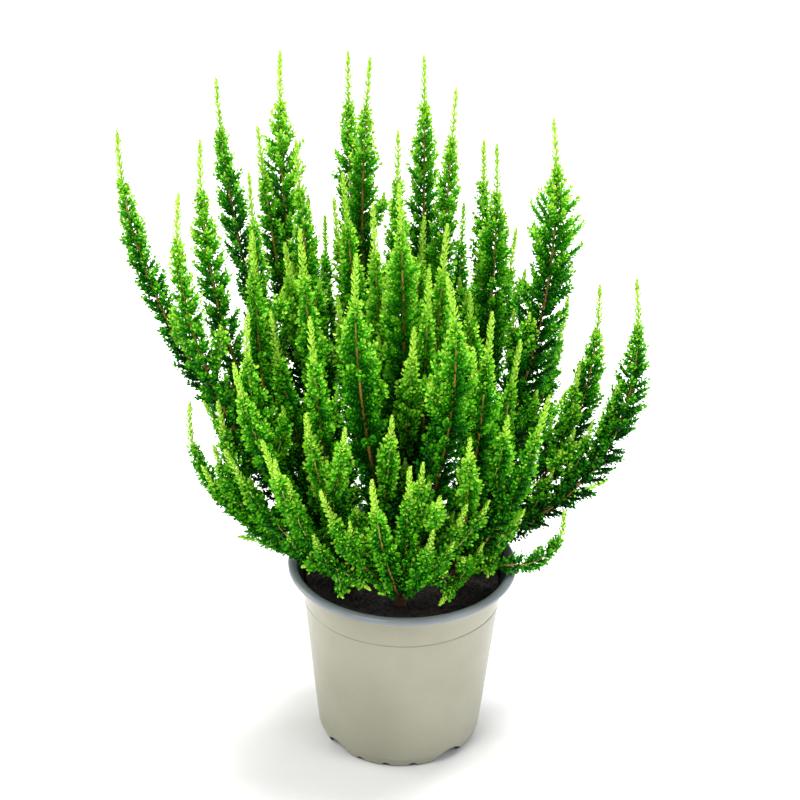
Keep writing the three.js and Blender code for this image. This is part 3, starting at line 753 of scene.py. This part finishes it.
def add_shoots(soup, rng, origin, along, upward, length, freshness):
    """Side shoots in crossed pairs of scale leaves, brightest at their ends."""
    count = len(origin)
    shoots = Shoots(origin, along, upward, length)
    # The spindles are darker than their leaves, as painted shade under them
    add_cores(soup, shoots, green(freshness - 0.3))
    pairs = np.maximum(3, np.round(length / LEAF_PAIR_SPACING)).astype(int)
    start_turn = rng.uniform(0, TURN, count)
    for m in range(int(pairs.max())):
        has = pairs > m
        share = np.where(has, (m + 0.9) / pairs, 0)[:, None]
        centre = shoots.point(share)
        ahead, flat, upright = shoots.frame(share)
        for half in (0, 1):
            turn = start_turn + m * math.pi / 2 + half * math.pi + rng.normal(0, 0.22, count)
            radial = around(turn[:, None], flat, upright)
            lean = np.radians(profile(SHOOT_LEAF_LEAN, share) + rng.normal(0, 8, (count, 1)))
            leaf_along = leaning(lean, ahead, radial)
            leaf_out = leaning(lean, radial, -ahead)
            size = rng.uniform(0.86, 1.14, count) * (1 - 0.15 * share[:, 0])
            fresh = freshness + 0.50 * (share[:, 0] - 0.70) + rng.normal(0, 0.05, count)
            base = centre + radial * 0.35
            # Foot colour darker, tip colour lighter: painted shade and painted highlight on each leaf
            add_leaves(soup, base[has], leaf_along[has], leaf_out[has], (LEAF_LENGTH * size)[has],
                       (LEAF_WIDTH * size)[has], green(fresh - 0.28)[has], green(fresh + 0.10)[has])


def add_axis(soup, line, foot):
    """The stem itself: lime at the tip, orange lower down, brown at the foot."""
    from_tip = line["length"] - line["run"]
    lime = profile(AXIS_LIME, from_tip)[:, None]
    brown = profile(AXIS_BROWN, from_tip)[:, None]
    tint = lerp(lerp(BARK_YOUNG, BARK_OLD, brown), BARK_TIP, lime)
    keep = np.flatnonzero(line["run"] >= foot - 1)
    keep = np.append(keep[:-1:2], keep[-1])
    tube(soup, part_of(line, keep), profile(AXIS_RADIUS, from_tip)[keep], 5, tint[keep])


def nodes_of(rng, length, bare, foot):
    """Distances from the tip of the nodes, from the tip down."""
    nodes = []
    down = 0.3
    while down < length - foot - 0.5:
        nodes.append(down)
        low = clamp((down - 0.5 * length) / (0.5 * length), 0, 1)
        gap = TIP_NODE_SPACING if down < bare else lerp(SHOOT_NODE_SPACING, LOW_NODE_SPACING, low)
        if down < 5:
            gap *= 0.7
        down += gap * rng.uniform(0.88, 1.12)
    return np.array(nodes)


def add_tip_leaves(soup, rng, place, tip_end, start_turn, vigour_and_shade):
    """Whorls of leaves straight on the axis. Below the tip they stand on every second node, and not on the
    side that faces the main view, where the axis shows."""
    nodes = place["nodes"]
    tip = nodes < tip_end
    between = ~tip & (place["order"] % 2 == 0)
    for quarter in range(4):
        turn = start_turn + place["order"] * math.pi / 4 + quarter * math.pi / 2
        turn = turn + rng.normal(0, 0.15, len(nodes))
        radial = around(turn[:, None], place["side"], place["across"])
        lean = profile(TIP_LEAF_LEAN, nodes) + rng.normal(0, 6, len(nodes))
        lean = np.radians(lean)[:, None]
        leaf_along = leaning(lean, place["tangent"], radial)
        leaf_out = leaning(lean, radial, -place["tangent"])
        size = TIP_LEAF_LENGTH * profile(TIP_LEAF_SIZE, nodes) * rng.uniform(0.88, 1.12, len(nodes))
        fresh = profile(TIP_FRESHNESS, nodes) + vigour_and_shade + rng.normal(0, 0.04, len(nodes))
        base = place["centre"] + radial * place["radius"] * 0.6
        kept = tip | (between & (radial[:, 1] > -0.45))
        # Foot colour darker, tip colour lighter: painted shade and painted highlight on each leaf
        add_leaves(soup, base[kept], leaf_along[kept], leaf_out[kept], size[kept], 0.5 * size[kept],
                   green(fresh - 0.18)[kept], green(fresh + 0.06)[kept])


def add_side_shoots(soup, rng, one, place, length, start_turn, vigour_and_shade):
    """Side shoots in opposite pairs, each pair turned a quarter from the one above."""
    nodes = place["nodes"]
    count = len(nodes)
    reach = np.array([leaf_reach(one, down, length) for down in nodes])
    height = place["centre"][:, 2] - PEAT_CROWN
    for half in (0, 1):
        turn = start_turn + place["order"] * math.pi / 2 + half * math.pi + rng.normal(0, 0.32, count)
        radial = around(turn[:, None], place["side"], place["across"])
        lean = profile(SHOOT_LEAN, nodes / length) + rng.normal(0, 9, count)
        along = leaning(np.radians(lean)[:, None], place["tangent"], radial)
        size = np.maximum(2.6, FULLNESS * reach / 0.80 - 1.2) * rng.uniform(0.90, 1.10, count)
        # Darker lower in the bush: older leaves there, and painted shade
        fresh = profile(SHOOT_FRESHNESS, nodes) + vigour_and_shade + profile(HEIGHT_AGE_AND_SHADE, height)
        fresh = fresh + rng.normal(0, 0.04, count)
        base = place["centre"] + radial * place["radius"] * 0.7
        add_shoots(soup, rng, base, along, unit(place["tangent"] + UPRIGHT), size, fresh)


def dress_stem(soup, one, seed):
    """One stem: its axis, the scale leaves on its bare tip and the side shoots below them."""
    rng = np.random.default_rng(seed)
    line = smooth_line(one["path"])
    length = line["length"]
    bare = bare_tip(length)
    foot = 0.0 if one["parent"] else bare_foot(path_length(one["path"])) * 0.6
    add_axis(soup, line, foot)

    nodes = nodes_of(rng, length, bare, foot)
    place = dict(nodes=nodes, order=np.arange(len(nodes)))
    place["radius"] = profile(AXIS_RADIUS, nodes)[:, None]
    for name, key in (("centre", "points"), ("tangent", "tangents"), ("side", "sides")):
        place[name] = read_line(line, length - nodes, key)
    place["across"] = np.cross(place["tangent"], place["side"])
    # A random tone for each stem, less painted shade for sprigs inside the bush and for stems whose tips
    # lie low
    low_shade = profile(LOW_STEM_SHADE, place["centre"][0, 2] - PEAT_CROWN)
    vigour_and_shade = rng.normal(0, 0.035) - one.get("shade", 0) - low_shade
    start_turn = math.pi / 4 + rng.normal(0, 0.25)
    add_tip_leaves(soup, rng, place, bare + 5, start_turn, vigour_and_shade)
    body = nodes >= bare * 0.85
    if body.any():
        below = {key: values[body] for key, values in place.items()}
        add_side_shoots(soup, rng, one, below, length, start_turn, vigour_and_shade)


def sprigs_of(one, seed):
    """Short side stems that close gaps in the bush, low on a stem but not on its outer side."""
    rng = np.random.default_rng(seed)
    line = smooth_line(one["path"])
    if line["length"] < SPRIG_LEAST_STEM:
        return []
    sprigs = []
    turn = rng.uniform(0, TURN)
    for share in np.arange(SPRIGS_FROM, SPRIGS_TO, SPRIG_SPACING / line["length"]):
        turn += GOLDEN_TURN + rng.normal(0, 0.3)
        at = np.array([share * line["length"] + rng.uniform(-4, 4)])
        start, tangent, side = (read_line(line, at, key)[0] for key in ("points", "tangents", "sides"))
        outward = around(turn, side, np.cross(tangent, side))
        if outward @ unit(start * [1, 1, 0]) > SPRIG_OUTWARD_LIMIT:
            continue
        size = rng.uniform(*SPRIG_LENGTH)
        upward = unit(tangent + UPRIGHT)
        bend = start + size * (0.42 * outward + 0.24 * upward)
        end = start + size * (0.48 * outward + 0.84 * upward)
        path = evenly_spaced(start, bend, end)
        reach = rng.uniform(*SPRIG_REACH)
        # Sprigs lie inside the bush and are darkened as painted shade
        sprigs.append(dict(path=path, parent=one["name"], reach=reach, shade=SPRIG_SHADE))
    return sprigs


# Materials

def node_material(name):
    material = bpy.data.materials.new(name)
    material.use_nodes = True
    tree = material.node_tree
    return material, tree, tree.nodes["Principled BSDF"]


def link(tree, source, target):
    tree.links.new(source, target)


def new_node(tree, kind, **settings):
    node = tree.nodes.new(kind)
    for key, value in settings.items():
        setattr(node, key, value)
    return node


def set_inputs(node, values):
    for name, value in values.items():
        node.inputs[name].default_value = value


def noise(tree, scale, detail=3.0, roughness=0.55):
    coordinates = new_node(tree, "ShaderNodeTexCoord")
    texture = new_node(tree, "ShaderNodeTexNoise")
    set_inputs(texture, {"Scale": scale, "Detail": detail, "Roughness": roughness})
    link(tree, coordinates.outputs["Object"], texture.inputs["Vector"])
    return texture.outputs["Fac"]


def spread(tree, source, low, high, from_low=0.3, from_high=0.7):
    node = new_node(tree, "ShaderNodeMapRange")
    set_inputs(node, {"From Min": from_low, "From Max": from_high, "To Min": low, "To Max": high})
    link(tree, source, node.inputs["Value"])
    return node.outputs["Result"]


def vary_tint(tree, shader, pattern, low, high):
    """The colour that each point has, made darker and lighter by a pattern."""
    node = new_node(tree, "ShaderNodeVectorMath", operation="SCALE")
    tint = new_node(tree, "ShaderNodeAttribute", attribute_name="tint")
    link(tree, tint.outputs["Color"], node.inputs[0])
    link(tree, spread(tree, pattern, low, high), node.inputs["Scale"])
    link(tree, node.outputs["Vector"], shader.inputs["Base Color"])


def vary_roughness(tree, shader, pattern, low, high):
    link(tree, spread(tree, pattern, low, high), shader.inputs["Roughness"])


def bumped(tree, shader, height, strength, distance):
    node = new_node(tree, "ShaderNodeBump")
    set_inputs(node, {"Strength": strength, "Distance": distance})
    link(tree, height, node.inputs["Height"])
    link(tree, node.outputs["Normal"], shader.inputs["Normal"])


def foliage_material():
    """Waxy green leaves, mottled from shoot to shoot."""
    material, tree, shader = node_material("heather_foliage")
    vary_tint(tree, shader, noise(tree, 420), 0.82, 1.18)
    vary_roughness(tree, shader, noise(tree, 900), 0.42, 0.6)
    set_inputs(shader, {"Specular IOR Level": 0.12})
    return material


def bark_material():
    """Thin flaking reddish bark."""
    material, tree, shader = node_material("heather_bark")
    vary_tint(tree, shader, noise(tree, 700, 5), 0.6, 1.4)
    vary_roughness(tree, shader, noise(tree, 500), 0.7, 0.95)
    bumped(tree, shader, noise(tree, 1400, 4), 0.6, 0.0004)
    return material


def peat_material():
    """Dark moist peat, with reddish fibres."""
    material, tree, shader = node_material("peat_crumb")
    vary_tint(tree, shader, noise(tree, 900, 6), 0.45, 1.6)
    vary_roughness(tree, shader, noise(tree, 700), 0.75, 1.0)
    bumped(tree, shader, noise(tree, 1300, 6, 0.7), 0.9, 0.0006)
    return material


def pot_material(name, low, high, rough_low, rough_high):
    """Thermoformed plastic with faint clouds and scuffs."""
    material, tree, shader = node_material(name)
    mix = new_node(tree, "ShaderNodeMix", data_type="RGBA")
    set_inputs(mix, {"A": (*low, 1), "B": (*high, 1)})
    link(tree, spread(tree, noise(tree, 28, 4), 0, 1, 0.35, 0.65), mix.inputs["Factor"])
    link(tree, mix.outputs["Result"], shader.inputs["Base Color"])
    vary_roughness(tree, shader, noise(tree, 160, 5), rough_low, rough_high)
    bumped(tree, shader, noise(tree, 55, 3), 0.10, 0.0006)
    return material


FOLIAGE = foliage_material()
BARK = bark_material()
PEAT = peat_material()
POT_OUTSIDE = pot_material("pot_greige", (0.265, 0.258, 0.189), (0.295, 0.287, 0.215), 0.34, 0.42)
POT_LIP = pot_material("pot_lip_grey", (0.16, 0.18, 0.20), (0.20, 0.22, 0.245), 0.28, 0.38)
# Near-black: on the inner wall its dark plastic deepened by painted shade, on the underside painted shade
# under the pot
POT_INSIDE_AND_SHADE = pot_material("pot_inside_and_painted_shade", (0.018, 0.019, 0.021), (0.03, 0.032, 0.035), 0.35, 0.5)


# Pot

# The order of its materials
OUTSIDE_SLOT = 0
LIP_SLOT = 1
# The near-black slot paints shade on the underside and deepens the dark inner wall with painted shade
INSIDE_AND_SHADE_SLOT = 2


def wall_radius(z):
    """The outer radius of the tapered wall."""
    taper = (WALL_TOP_RADIUS - WALL_FOOT_RADIUS) / (POT_HEIGHT - SHOULDER_DROP - FOOT_ROUNDING)
    return WALL_FOOT_RADIUS + taper * (z - FOOT_ROUNDING)


def rounded(corners, steps=5):
    """A line whose inner corners are rounded. Each corner is (radius, height, size of the rounding)."""
    points = [np.array(corners[0][:2], float)]
    for before, corner, after in zip(corners, corners[1:], corners[2:]):
        here = np.array(corner[:2], float)
        size = corner[2]
        back = np.array(before[:2], float) - here
        ahead = np.array(after[:2], float) - here
        start = here + back * min(0.48, size / max(np.linalg.norm(back), 1e-6))
        end = here + ahead * min(0.48, size / max(np.linalg.norm(ahead), 1e-6))
        for t in np.linspace(0, 1, steps):
            points.append(quadratic(start, here, end, t))
    points.append(np.array(corners[-1][:2], float))
    return np.array(points)


def arches(turn, count, first, half_width, height):
    """How far a row of round arches raises the lower edge at an angle."""
    period = TURN / count
    off = np.abs((turn - first + period / 2) % period - period / 2) / half_width
    return height * np.sqrt(np.clip(1 - off ** 2, 0, 1))


def pot_section():
    """The skin from the middle of the base round to the inside, and where its colours change."""
    top = POT_HEIGHT
    groove = top - GROOVE_DROP
    foot = wall_radius(FOOT_STEP)
    wall = wall_radius(groove)
    foot_edge = (BASE_RADIUS + 0.4, 0.3, 0)
    lip_start = (RIM_RADIUS - 1.0, top - 3.7, 0)
    lip_end = (RIM_RADIUS - 5.2, top - 2.0, 0)
    underside = rounded([
        (0, 0, 0),
        (CHANNEL_INNER - 2.5, 0, 1),
        (CHANNEL_INNER, CHANNEL_HEIGHT, 1),
        (CHANNEL_OUTER, CHANNEL_HEIGHT, 1),
        (BASE_RADIUS - 4.5, 0, 0.6),
        (BASE_RADIUS - 0.6, 0, 0),
        foot_edge,
    ], 3)
    outside = rounded([
        foot_edge,
        (foot - 1.3, FOOT_STEP * 0.6, 2),
        (foot - 0.9, FOOT_STEP - 0.3, 0.3),
        (foot - 0.1, FOOT_STEP + 0.5, 0.5),
        (wall_radius(FOOT_ROUNDING + 2), FOOT_ROUNDING + 2, 1.5),
        (wall - 0.05, groove - 0.5, 0.1),
        (wall - 0.4, groove - 0.1, 0.1),
        (wall - 0.35, groove + 0.3, 0.1),
        (wall + 0.15, groove + 0.6, 0.2),
        (WALL_TOP_RADIUS, top - SHOULDER_DROP, 3),
        (WALL_TOP_RADIUS + 1.7, top - SHOULDER_DROP + 4, 2),
        (RIM_RADIUS - 2.6, top - 4.2, 1.2),
        lip_start,
    ], 4)
    lip = rounded([
        lip_start,
        (RIM_RADIUS - 0.1, top - 3.0, 0.5),
        (RIM_RADIUS, top - 1.3, 0.9),
        (RIM_RADIUS - 1.6, top, 1.3),
        (RIM_RADIUS - 4.2, top - 0.5, 1.0),
        lip_end,
    ], 5)
    inside = rounded([
        lip_end,
        (WALL_TOP_RADIUS - WALL, top - SHOULDER_DROP - 1, 2.5),
        (WALL_TOP_RADIUS - WALL - 1.5, PEAT_EDGE - 12, 0),
    ], 4)
    section = np.vstack([underside, outside[1:], lip[1:], inside[1:]])
    counts = [len(underside) - 1, len(outside) - 1, len(lip) - 1, len(inside) - 1]
    # The underside and the inner wall take the near-black material: painted shade under the pot, and dark
    # plastic with painted shade inside
    return section, np.repeat([INSIDE_AND_SHADE_SLOT, OUTSIDE_SLOT, LIP_SLOT, INSIDE_AND_SHADE_SLOT], counts)


def make_pot():
    """The section turned round, with its lower edge cut away and its wall a little uneven."""
    section, kinds = pot_section()
    turns = np.arange(POT_SEGMENTS) * TURN / POT_SEGMENTS
    rows = len(section)
    r = np.repeat(section[:, 0][:, None], POT_SEGMENTS, 1)
    z = np.repeat(section[:, 1][:, None], POT_SEGMENTS, 1)
    turn = np.repeat(turns[None], rows, 0)

    # The lower edge, between the feet and at the notches
    low_rows = np.arange(rows) < np.argmax(section[:, 1] > FOOT_GAP_LIFT + 1)
    below = low_rows[:, None] & (r > CHANNEL_OUTER - 1)
    first_gap = FOOT_TURN + math.pi / FOOT_COUNT
    gap = arches(turn, FOOT_COUNT, first_gap, FOOT_GAP_HALF_WIDTH, FOOT_GAP_LIFT)
    notch = arches(turn, NOTCH_COUNT, NOTCH_TURN, NOTCH_HALF_WIDTH, NOTCH_HEIGHT)
    notch = np.where(r > BASE_RADIUS - 0.5, notch, 0)
    raised = np.where(below, np.maximum(z, np.maximum(gap, notch)), z)
    outer = below & (r > BASE_RADIUS) & (raised > z)
    r = np.where(outer & (raised > NOTCH_HEIGHT + 0.1), np.maximum(r, wall_radius(raised) - 0.9), r)

    # The thin wall
    on_wall = (z > 12) & (z < POT_HEIGHT - SHOULDER_DROP)
    r = np.where(on_wall, r + 0.12 * np.sin(3 * turn + 0.7) + 0.06 * np.sin(7 * turn + z * 0.05), r)

    points = np.stack([r * np.cos(turn), r * np.sin(turn), raised], -1)
    row, column = np.meshgrid(np.arange(rows - 1), np.arange(POT_SEGMENTS), indexing="ij")
    a = (row * POT_SEGMENTS + column).ravel()
    b = (row * POT_SEGMENTS + (column + 1) % POT_SEGMENTS).ravel()
    quads = np.stack([a, b, b + POT_SEGMENTS, a + POT_SEGMENTS], 1)
    data = bpy.data.meshes.new("pot_skin")
    data.from_pydata((points.reshape(-1, 3) * MM).tolist(), [], quads.tolist())
    data.polygons.foreach_set("use_smooth", np.full(len(quads), True))
    data.polygons.foreach_set("material_index", np.repeat(kinds, POT_SEGMENTS).astype(np.int32))
    data.update()
    put("nursery_pot", data, [POT_OUTSIDE, POT_LIP, POT_INSIDE_AND_SHADE], "pot", "pot")


# Peat

PEAT_TINTS = np.array([
    [0.009, 0.0075, 0.007],
    [0.014, 0.010, 0.009],
    [0.026, 0.013, 0.009],
    [0.006, 0.0055, 0.006],
])
PEAT_RADIUS = WALL_TOP_RADIUS - WALL - 0.9
PEAT_RINGS = 44
PEAT_SECTORS = 120
PEAT_SKIRT = 6
PEAT_SEED = 5
GROUND_SEED = 11
CRUMB_COUNT = 1500
FIBRE_EVERY = 12

# An eight-sided crumb
CRUMB = np.array([[1, 0, 0], [-1, 0, 0], [0, 1, 0], [0, -1, 0], [0, 0, 1], [0, 0, -1]], float)
CRUMB_FACES = np.array([
    [0, 2, 4], [2, 1, 4], [1, 3, 4], [3, 0, 4],
    [2, 0, 5], [1, 2, 5], [3, 1, 5], [0, 3, 5],
])


def unevenness(x, y):
    """A sum of a few waves, as uneven ground."""
    rng = np.random.default_rng(GROUND_SEED)
    total = np.zeros_like(x)
    for octave in range(1, 6):
        for _ in range(5):
            heading = rng.uniform(0, TURN)
            phase = rng.uniform(0, TURN)
            wave = TURN / (22 / octave ** 1.2)
            total += np.sin((x * math.cos(heading) + y * math.sin(heading)) * wave + phase) / octave
    return total / 5


def peat_height(radius, turn):
    """The crown of the peat, with its unevenness."""
    crown = (PEAT_CROWN - PEAT_EDGE - 0.2) * (1 - (radius / PEAT_RADIUS) ** 2)
    return PEAT_EDGE + 0.4 + crown + 0.8 * unevenness(radius * np.cos(turn), radius * np.sin(turn))


def add_peat_surface(soup, rng):
    radii = np.linspace(0, PEAT_RADIUS, PEAT_RINGS + 1)[1:]
    turns = np.arange(PEAT_SECTORS) * TURN / PEAT_SECTORS
    r, t = np.meshgrid(radii, turns, indexing="ij")
    z = peat_height(r, t)
    z += rng.normal(0, 0.22, z.shape)
    surface = np.stack([r * np.cos(t), r * np.sin(t), z], -1)
    skirt = surface[-1].copy()
    skirt[:, 2] = PEAT_EDGE - PEAT_SKIRT
    points = np.vstack([[[0, 0, PEAT_CROWN]], surface.reshape(-1, 3), skirt])
    faces = [[0, 1 + j, 1 + (j + 1) % PEAT_SECTORS] for j in range(PEAT_SECTORS)]
    for i in range(PEAT_RINGS):
        for j in range(PEAT_SECTORS):
            a = 1 + i * PEAT_SECTORS + j
            b = 1 + i * PEAT_SECTORS + (j + 1) % PEAT_SECTORS
            faces += [[a, a + PEAT_SECTORS, b + PEAT_SECTORS], [a, b + PEAT_SECTORS, b]]
    tints = PEAT_TINTS[rng.integers(0, 4, len(points))] * rng.uniform(0.6, 1.3, (len(points), 1))
    soup.add(points, np.array(faces), tints)


def add_crumb(soup, rng, fibre):
    """A crumb, or a short fibre, that lies on the peat."""
    radius = PEAT_RADIUS * math.sqrt(rng.uniform(0, 1)) * 0.985
    turn = rng.uniform(0, TURN)
    size = rng.uniform(0.4, 1.5) * np.array([1, rng.uniform(0.5, 1), rng.uniform(0.4, 0.8)])
    if fibre:
        size = np.array([rng.uniform(1.5, 4), 0.25, 0.25])
    spin = np.array(Matrix.Rotation(rng.uniform(0, TURN), 3, "Z"))
    body = (CRUMB + rng.normal(0, 0.15, CRUMB.shape)) * size @ spin.T
    tint = PEAT_TINTS[rng.integers(0, 4)] * (2.2 if fibre else rng.uniform(0.6, 1.6))
    place = [radius * math.cos(turn), radius * math.sin(turn), peat_height(radius, turn) + size[2] * 0.5]
    soup.add(body + place, CRUMB_FACES, np.repeat(tint[None], len(CRUMB), 0))


def make_peat():
    soup = Soup()
    rng = np.random.default_rng(PEAT_SEED)
    add_peat_surface(soup, rng)
    for k in range(CRUMB_COUNT):
        add_crumb(soup, rng, k % FIBRE_EVERY == 0)
    put("peat_surface", soup.mesh("peat_surface", smooth=False), [PEAT], "peat", "peat")


# Bark of the cuttings

def make_cutting(index):
    """A trunk, and the bare feet of the stems that leave it."""
    soup = Soup()
    rng = np.random.default_rng(CUTTING_SEED + index)
    fork = FORKS[index]
    path = np.array([[fork[0], fork[1], z] for z in np.linspace(PEAT_CROWN - 9, fork[2] + 1.2, 6)])
    line = smooth_line(path, 1.0)
    radii = TRUNK_RADIUS * np.linspace(1.0, 0.8, len(line["points"]))
    tube(soup, line, radii, 12, np.repeat(BARK_OLD[None], len(radii), 0), 0.12, rng)
    for one in STEMS:
        if one["parent"] or one["fork_at"] != index:
            continue
        line = smooth_line(one["path"], 1.0)
        end = bare_foot(path_length(one["path"])) + 1
        part = part_of(line, line["run"] <= end)
        share = part["run"] / end
        tints = lerp(BARK_OLD, lerp(BARK_OLD, BARK_YOUNG, 0.3), share[:, None])
        tube(soup, part, lerp(BRANCH_ROOT_RADIUS, 1.0, share), 8, tints, 0.06, rng)
    node = f"woody_cutting_{index + 1}"
    put(f"bark_{index + 1}", soup.mesh(node + "_bark"), [BARK], "bark", node)


def make_foliage():
    """One piece for each leafy stem of the solids, with the side stems that fork off it."""
    mains = [one for one in STEMS if not one["parent"]]
    for number, main in enumerate(mains, 1):
        soup = Soup()
        for index, one in enumerate(STEMS + FINE_STEMS):
            if main_of(one) is not main:
                continue
            dress_stem(soup, one, STEM_SEED + index)
            for twig, sprig in enumerate(sprigs_of(one, SPRIG_SEED + index)):
                dress_stem(soup, sprig, TWIG_SEED + SEEDS_A_STEM * index + twig)
        name = f"foliage_{number:02d}"
        put(name, soup.mesh(name), [FOLIAGE], "foliage", f"leafy_stem_{number:02d}")


make_pot()
make_peat()
for index in range(len(FORKS)):
    make_cutting(index)
make_foliage()


# Stage, camera and light

def make_stage():
    data = bpy.data.meshes.new("floor")
    size = 8
    corners = [(-size, -size, 0), (size, -size, 0), (size, size, 0), (-size, size, 0)]
    data.from_pydata(corners, [], [(0, 1, 2, 3)])
    floor = new_object("floor", data)
    material, _, shader = node_material("studio_floor")
    set_inputs(shader, {"Base Color": (0.78, 0.78, 0.78, 1), "Roughness": 0.9, "Specular IOR Level": 0.1})
    data.materials.append(material)


def placed(right, up, back, place):
    """The matrix of a camera or lamp, from its own axes and its place."""
    columns = np.array([right, up, back, place]).T
    return Matrix([*columns.tolist(), [0, 0, 0, 1]])


def add_area(name, place, target, size, power, colour=(1, 1, 1)):
    light = bpy.data.lights.new(name, "AREA")
    light.shape = "DISK"
    light.size = size
    light.energy = power
    light.color = colour
    lamp = new_object(name, light)
    place = np.array(place, float)
    away = unit(place - np.array(target, float))
    side = unit(np.cross([0, 0, 1], away))
    up = np.cross(away, side)
    lamp.matrix_world = placed(side, up, away, place)


def make_camera():
    data = bpy.data.cameras.new("camera")
    data.sensor_width = SENSOR_WIDTH
    data.lens = SENSOR_WIDTH * FOCAL / FRAME_WIDTH
    data.clip_start = 0.01
    camera = new_object("camera", data)
    right = np.array([1, 0, 0])
    up = np.array([0, math.sin(PITCH), math.cos(PITCH)])
    back = np.cross(right, up)
    camera.matrix_world = placed(around(ROLL, right, up), around(ROLL, up, -right), back, EYE * MM)
    bpy.context.scene.camera = camera


def make_world():
    world = bpy.data.worlds.new("studio")
    world.use_nodes = True
    background = world.node_tree.nodes["Background"]
    set_inputs(background, {"Color": (1, 1, 1, 1), "Strength": 0.48})
    bpy.context.scene.world = world


make_stage()
make_camera()
make_world()
# Each lamp's place, target and size in metres, and its power in watts
add_area("key", (-1.3, -1.8, 3.0), (0, 0, 0.2), 1.4, 58, (1, 0.99, 0.96))
add_area("fill", (2.4, -1.2, 2.0), (0, 0, 0.2), 2.0, 34, (0.96, 0.98, 1))
add_area("rim", (-2.6, 0.6, 0.9), (0, 0, 0.1), 1.2, 26)
add_area("top", (0.2, 0.45, 2.4), (0, 0.05, 0.1), 1.3, 132)
bpy.context.scene.view_settings.view_transform = "Standard"
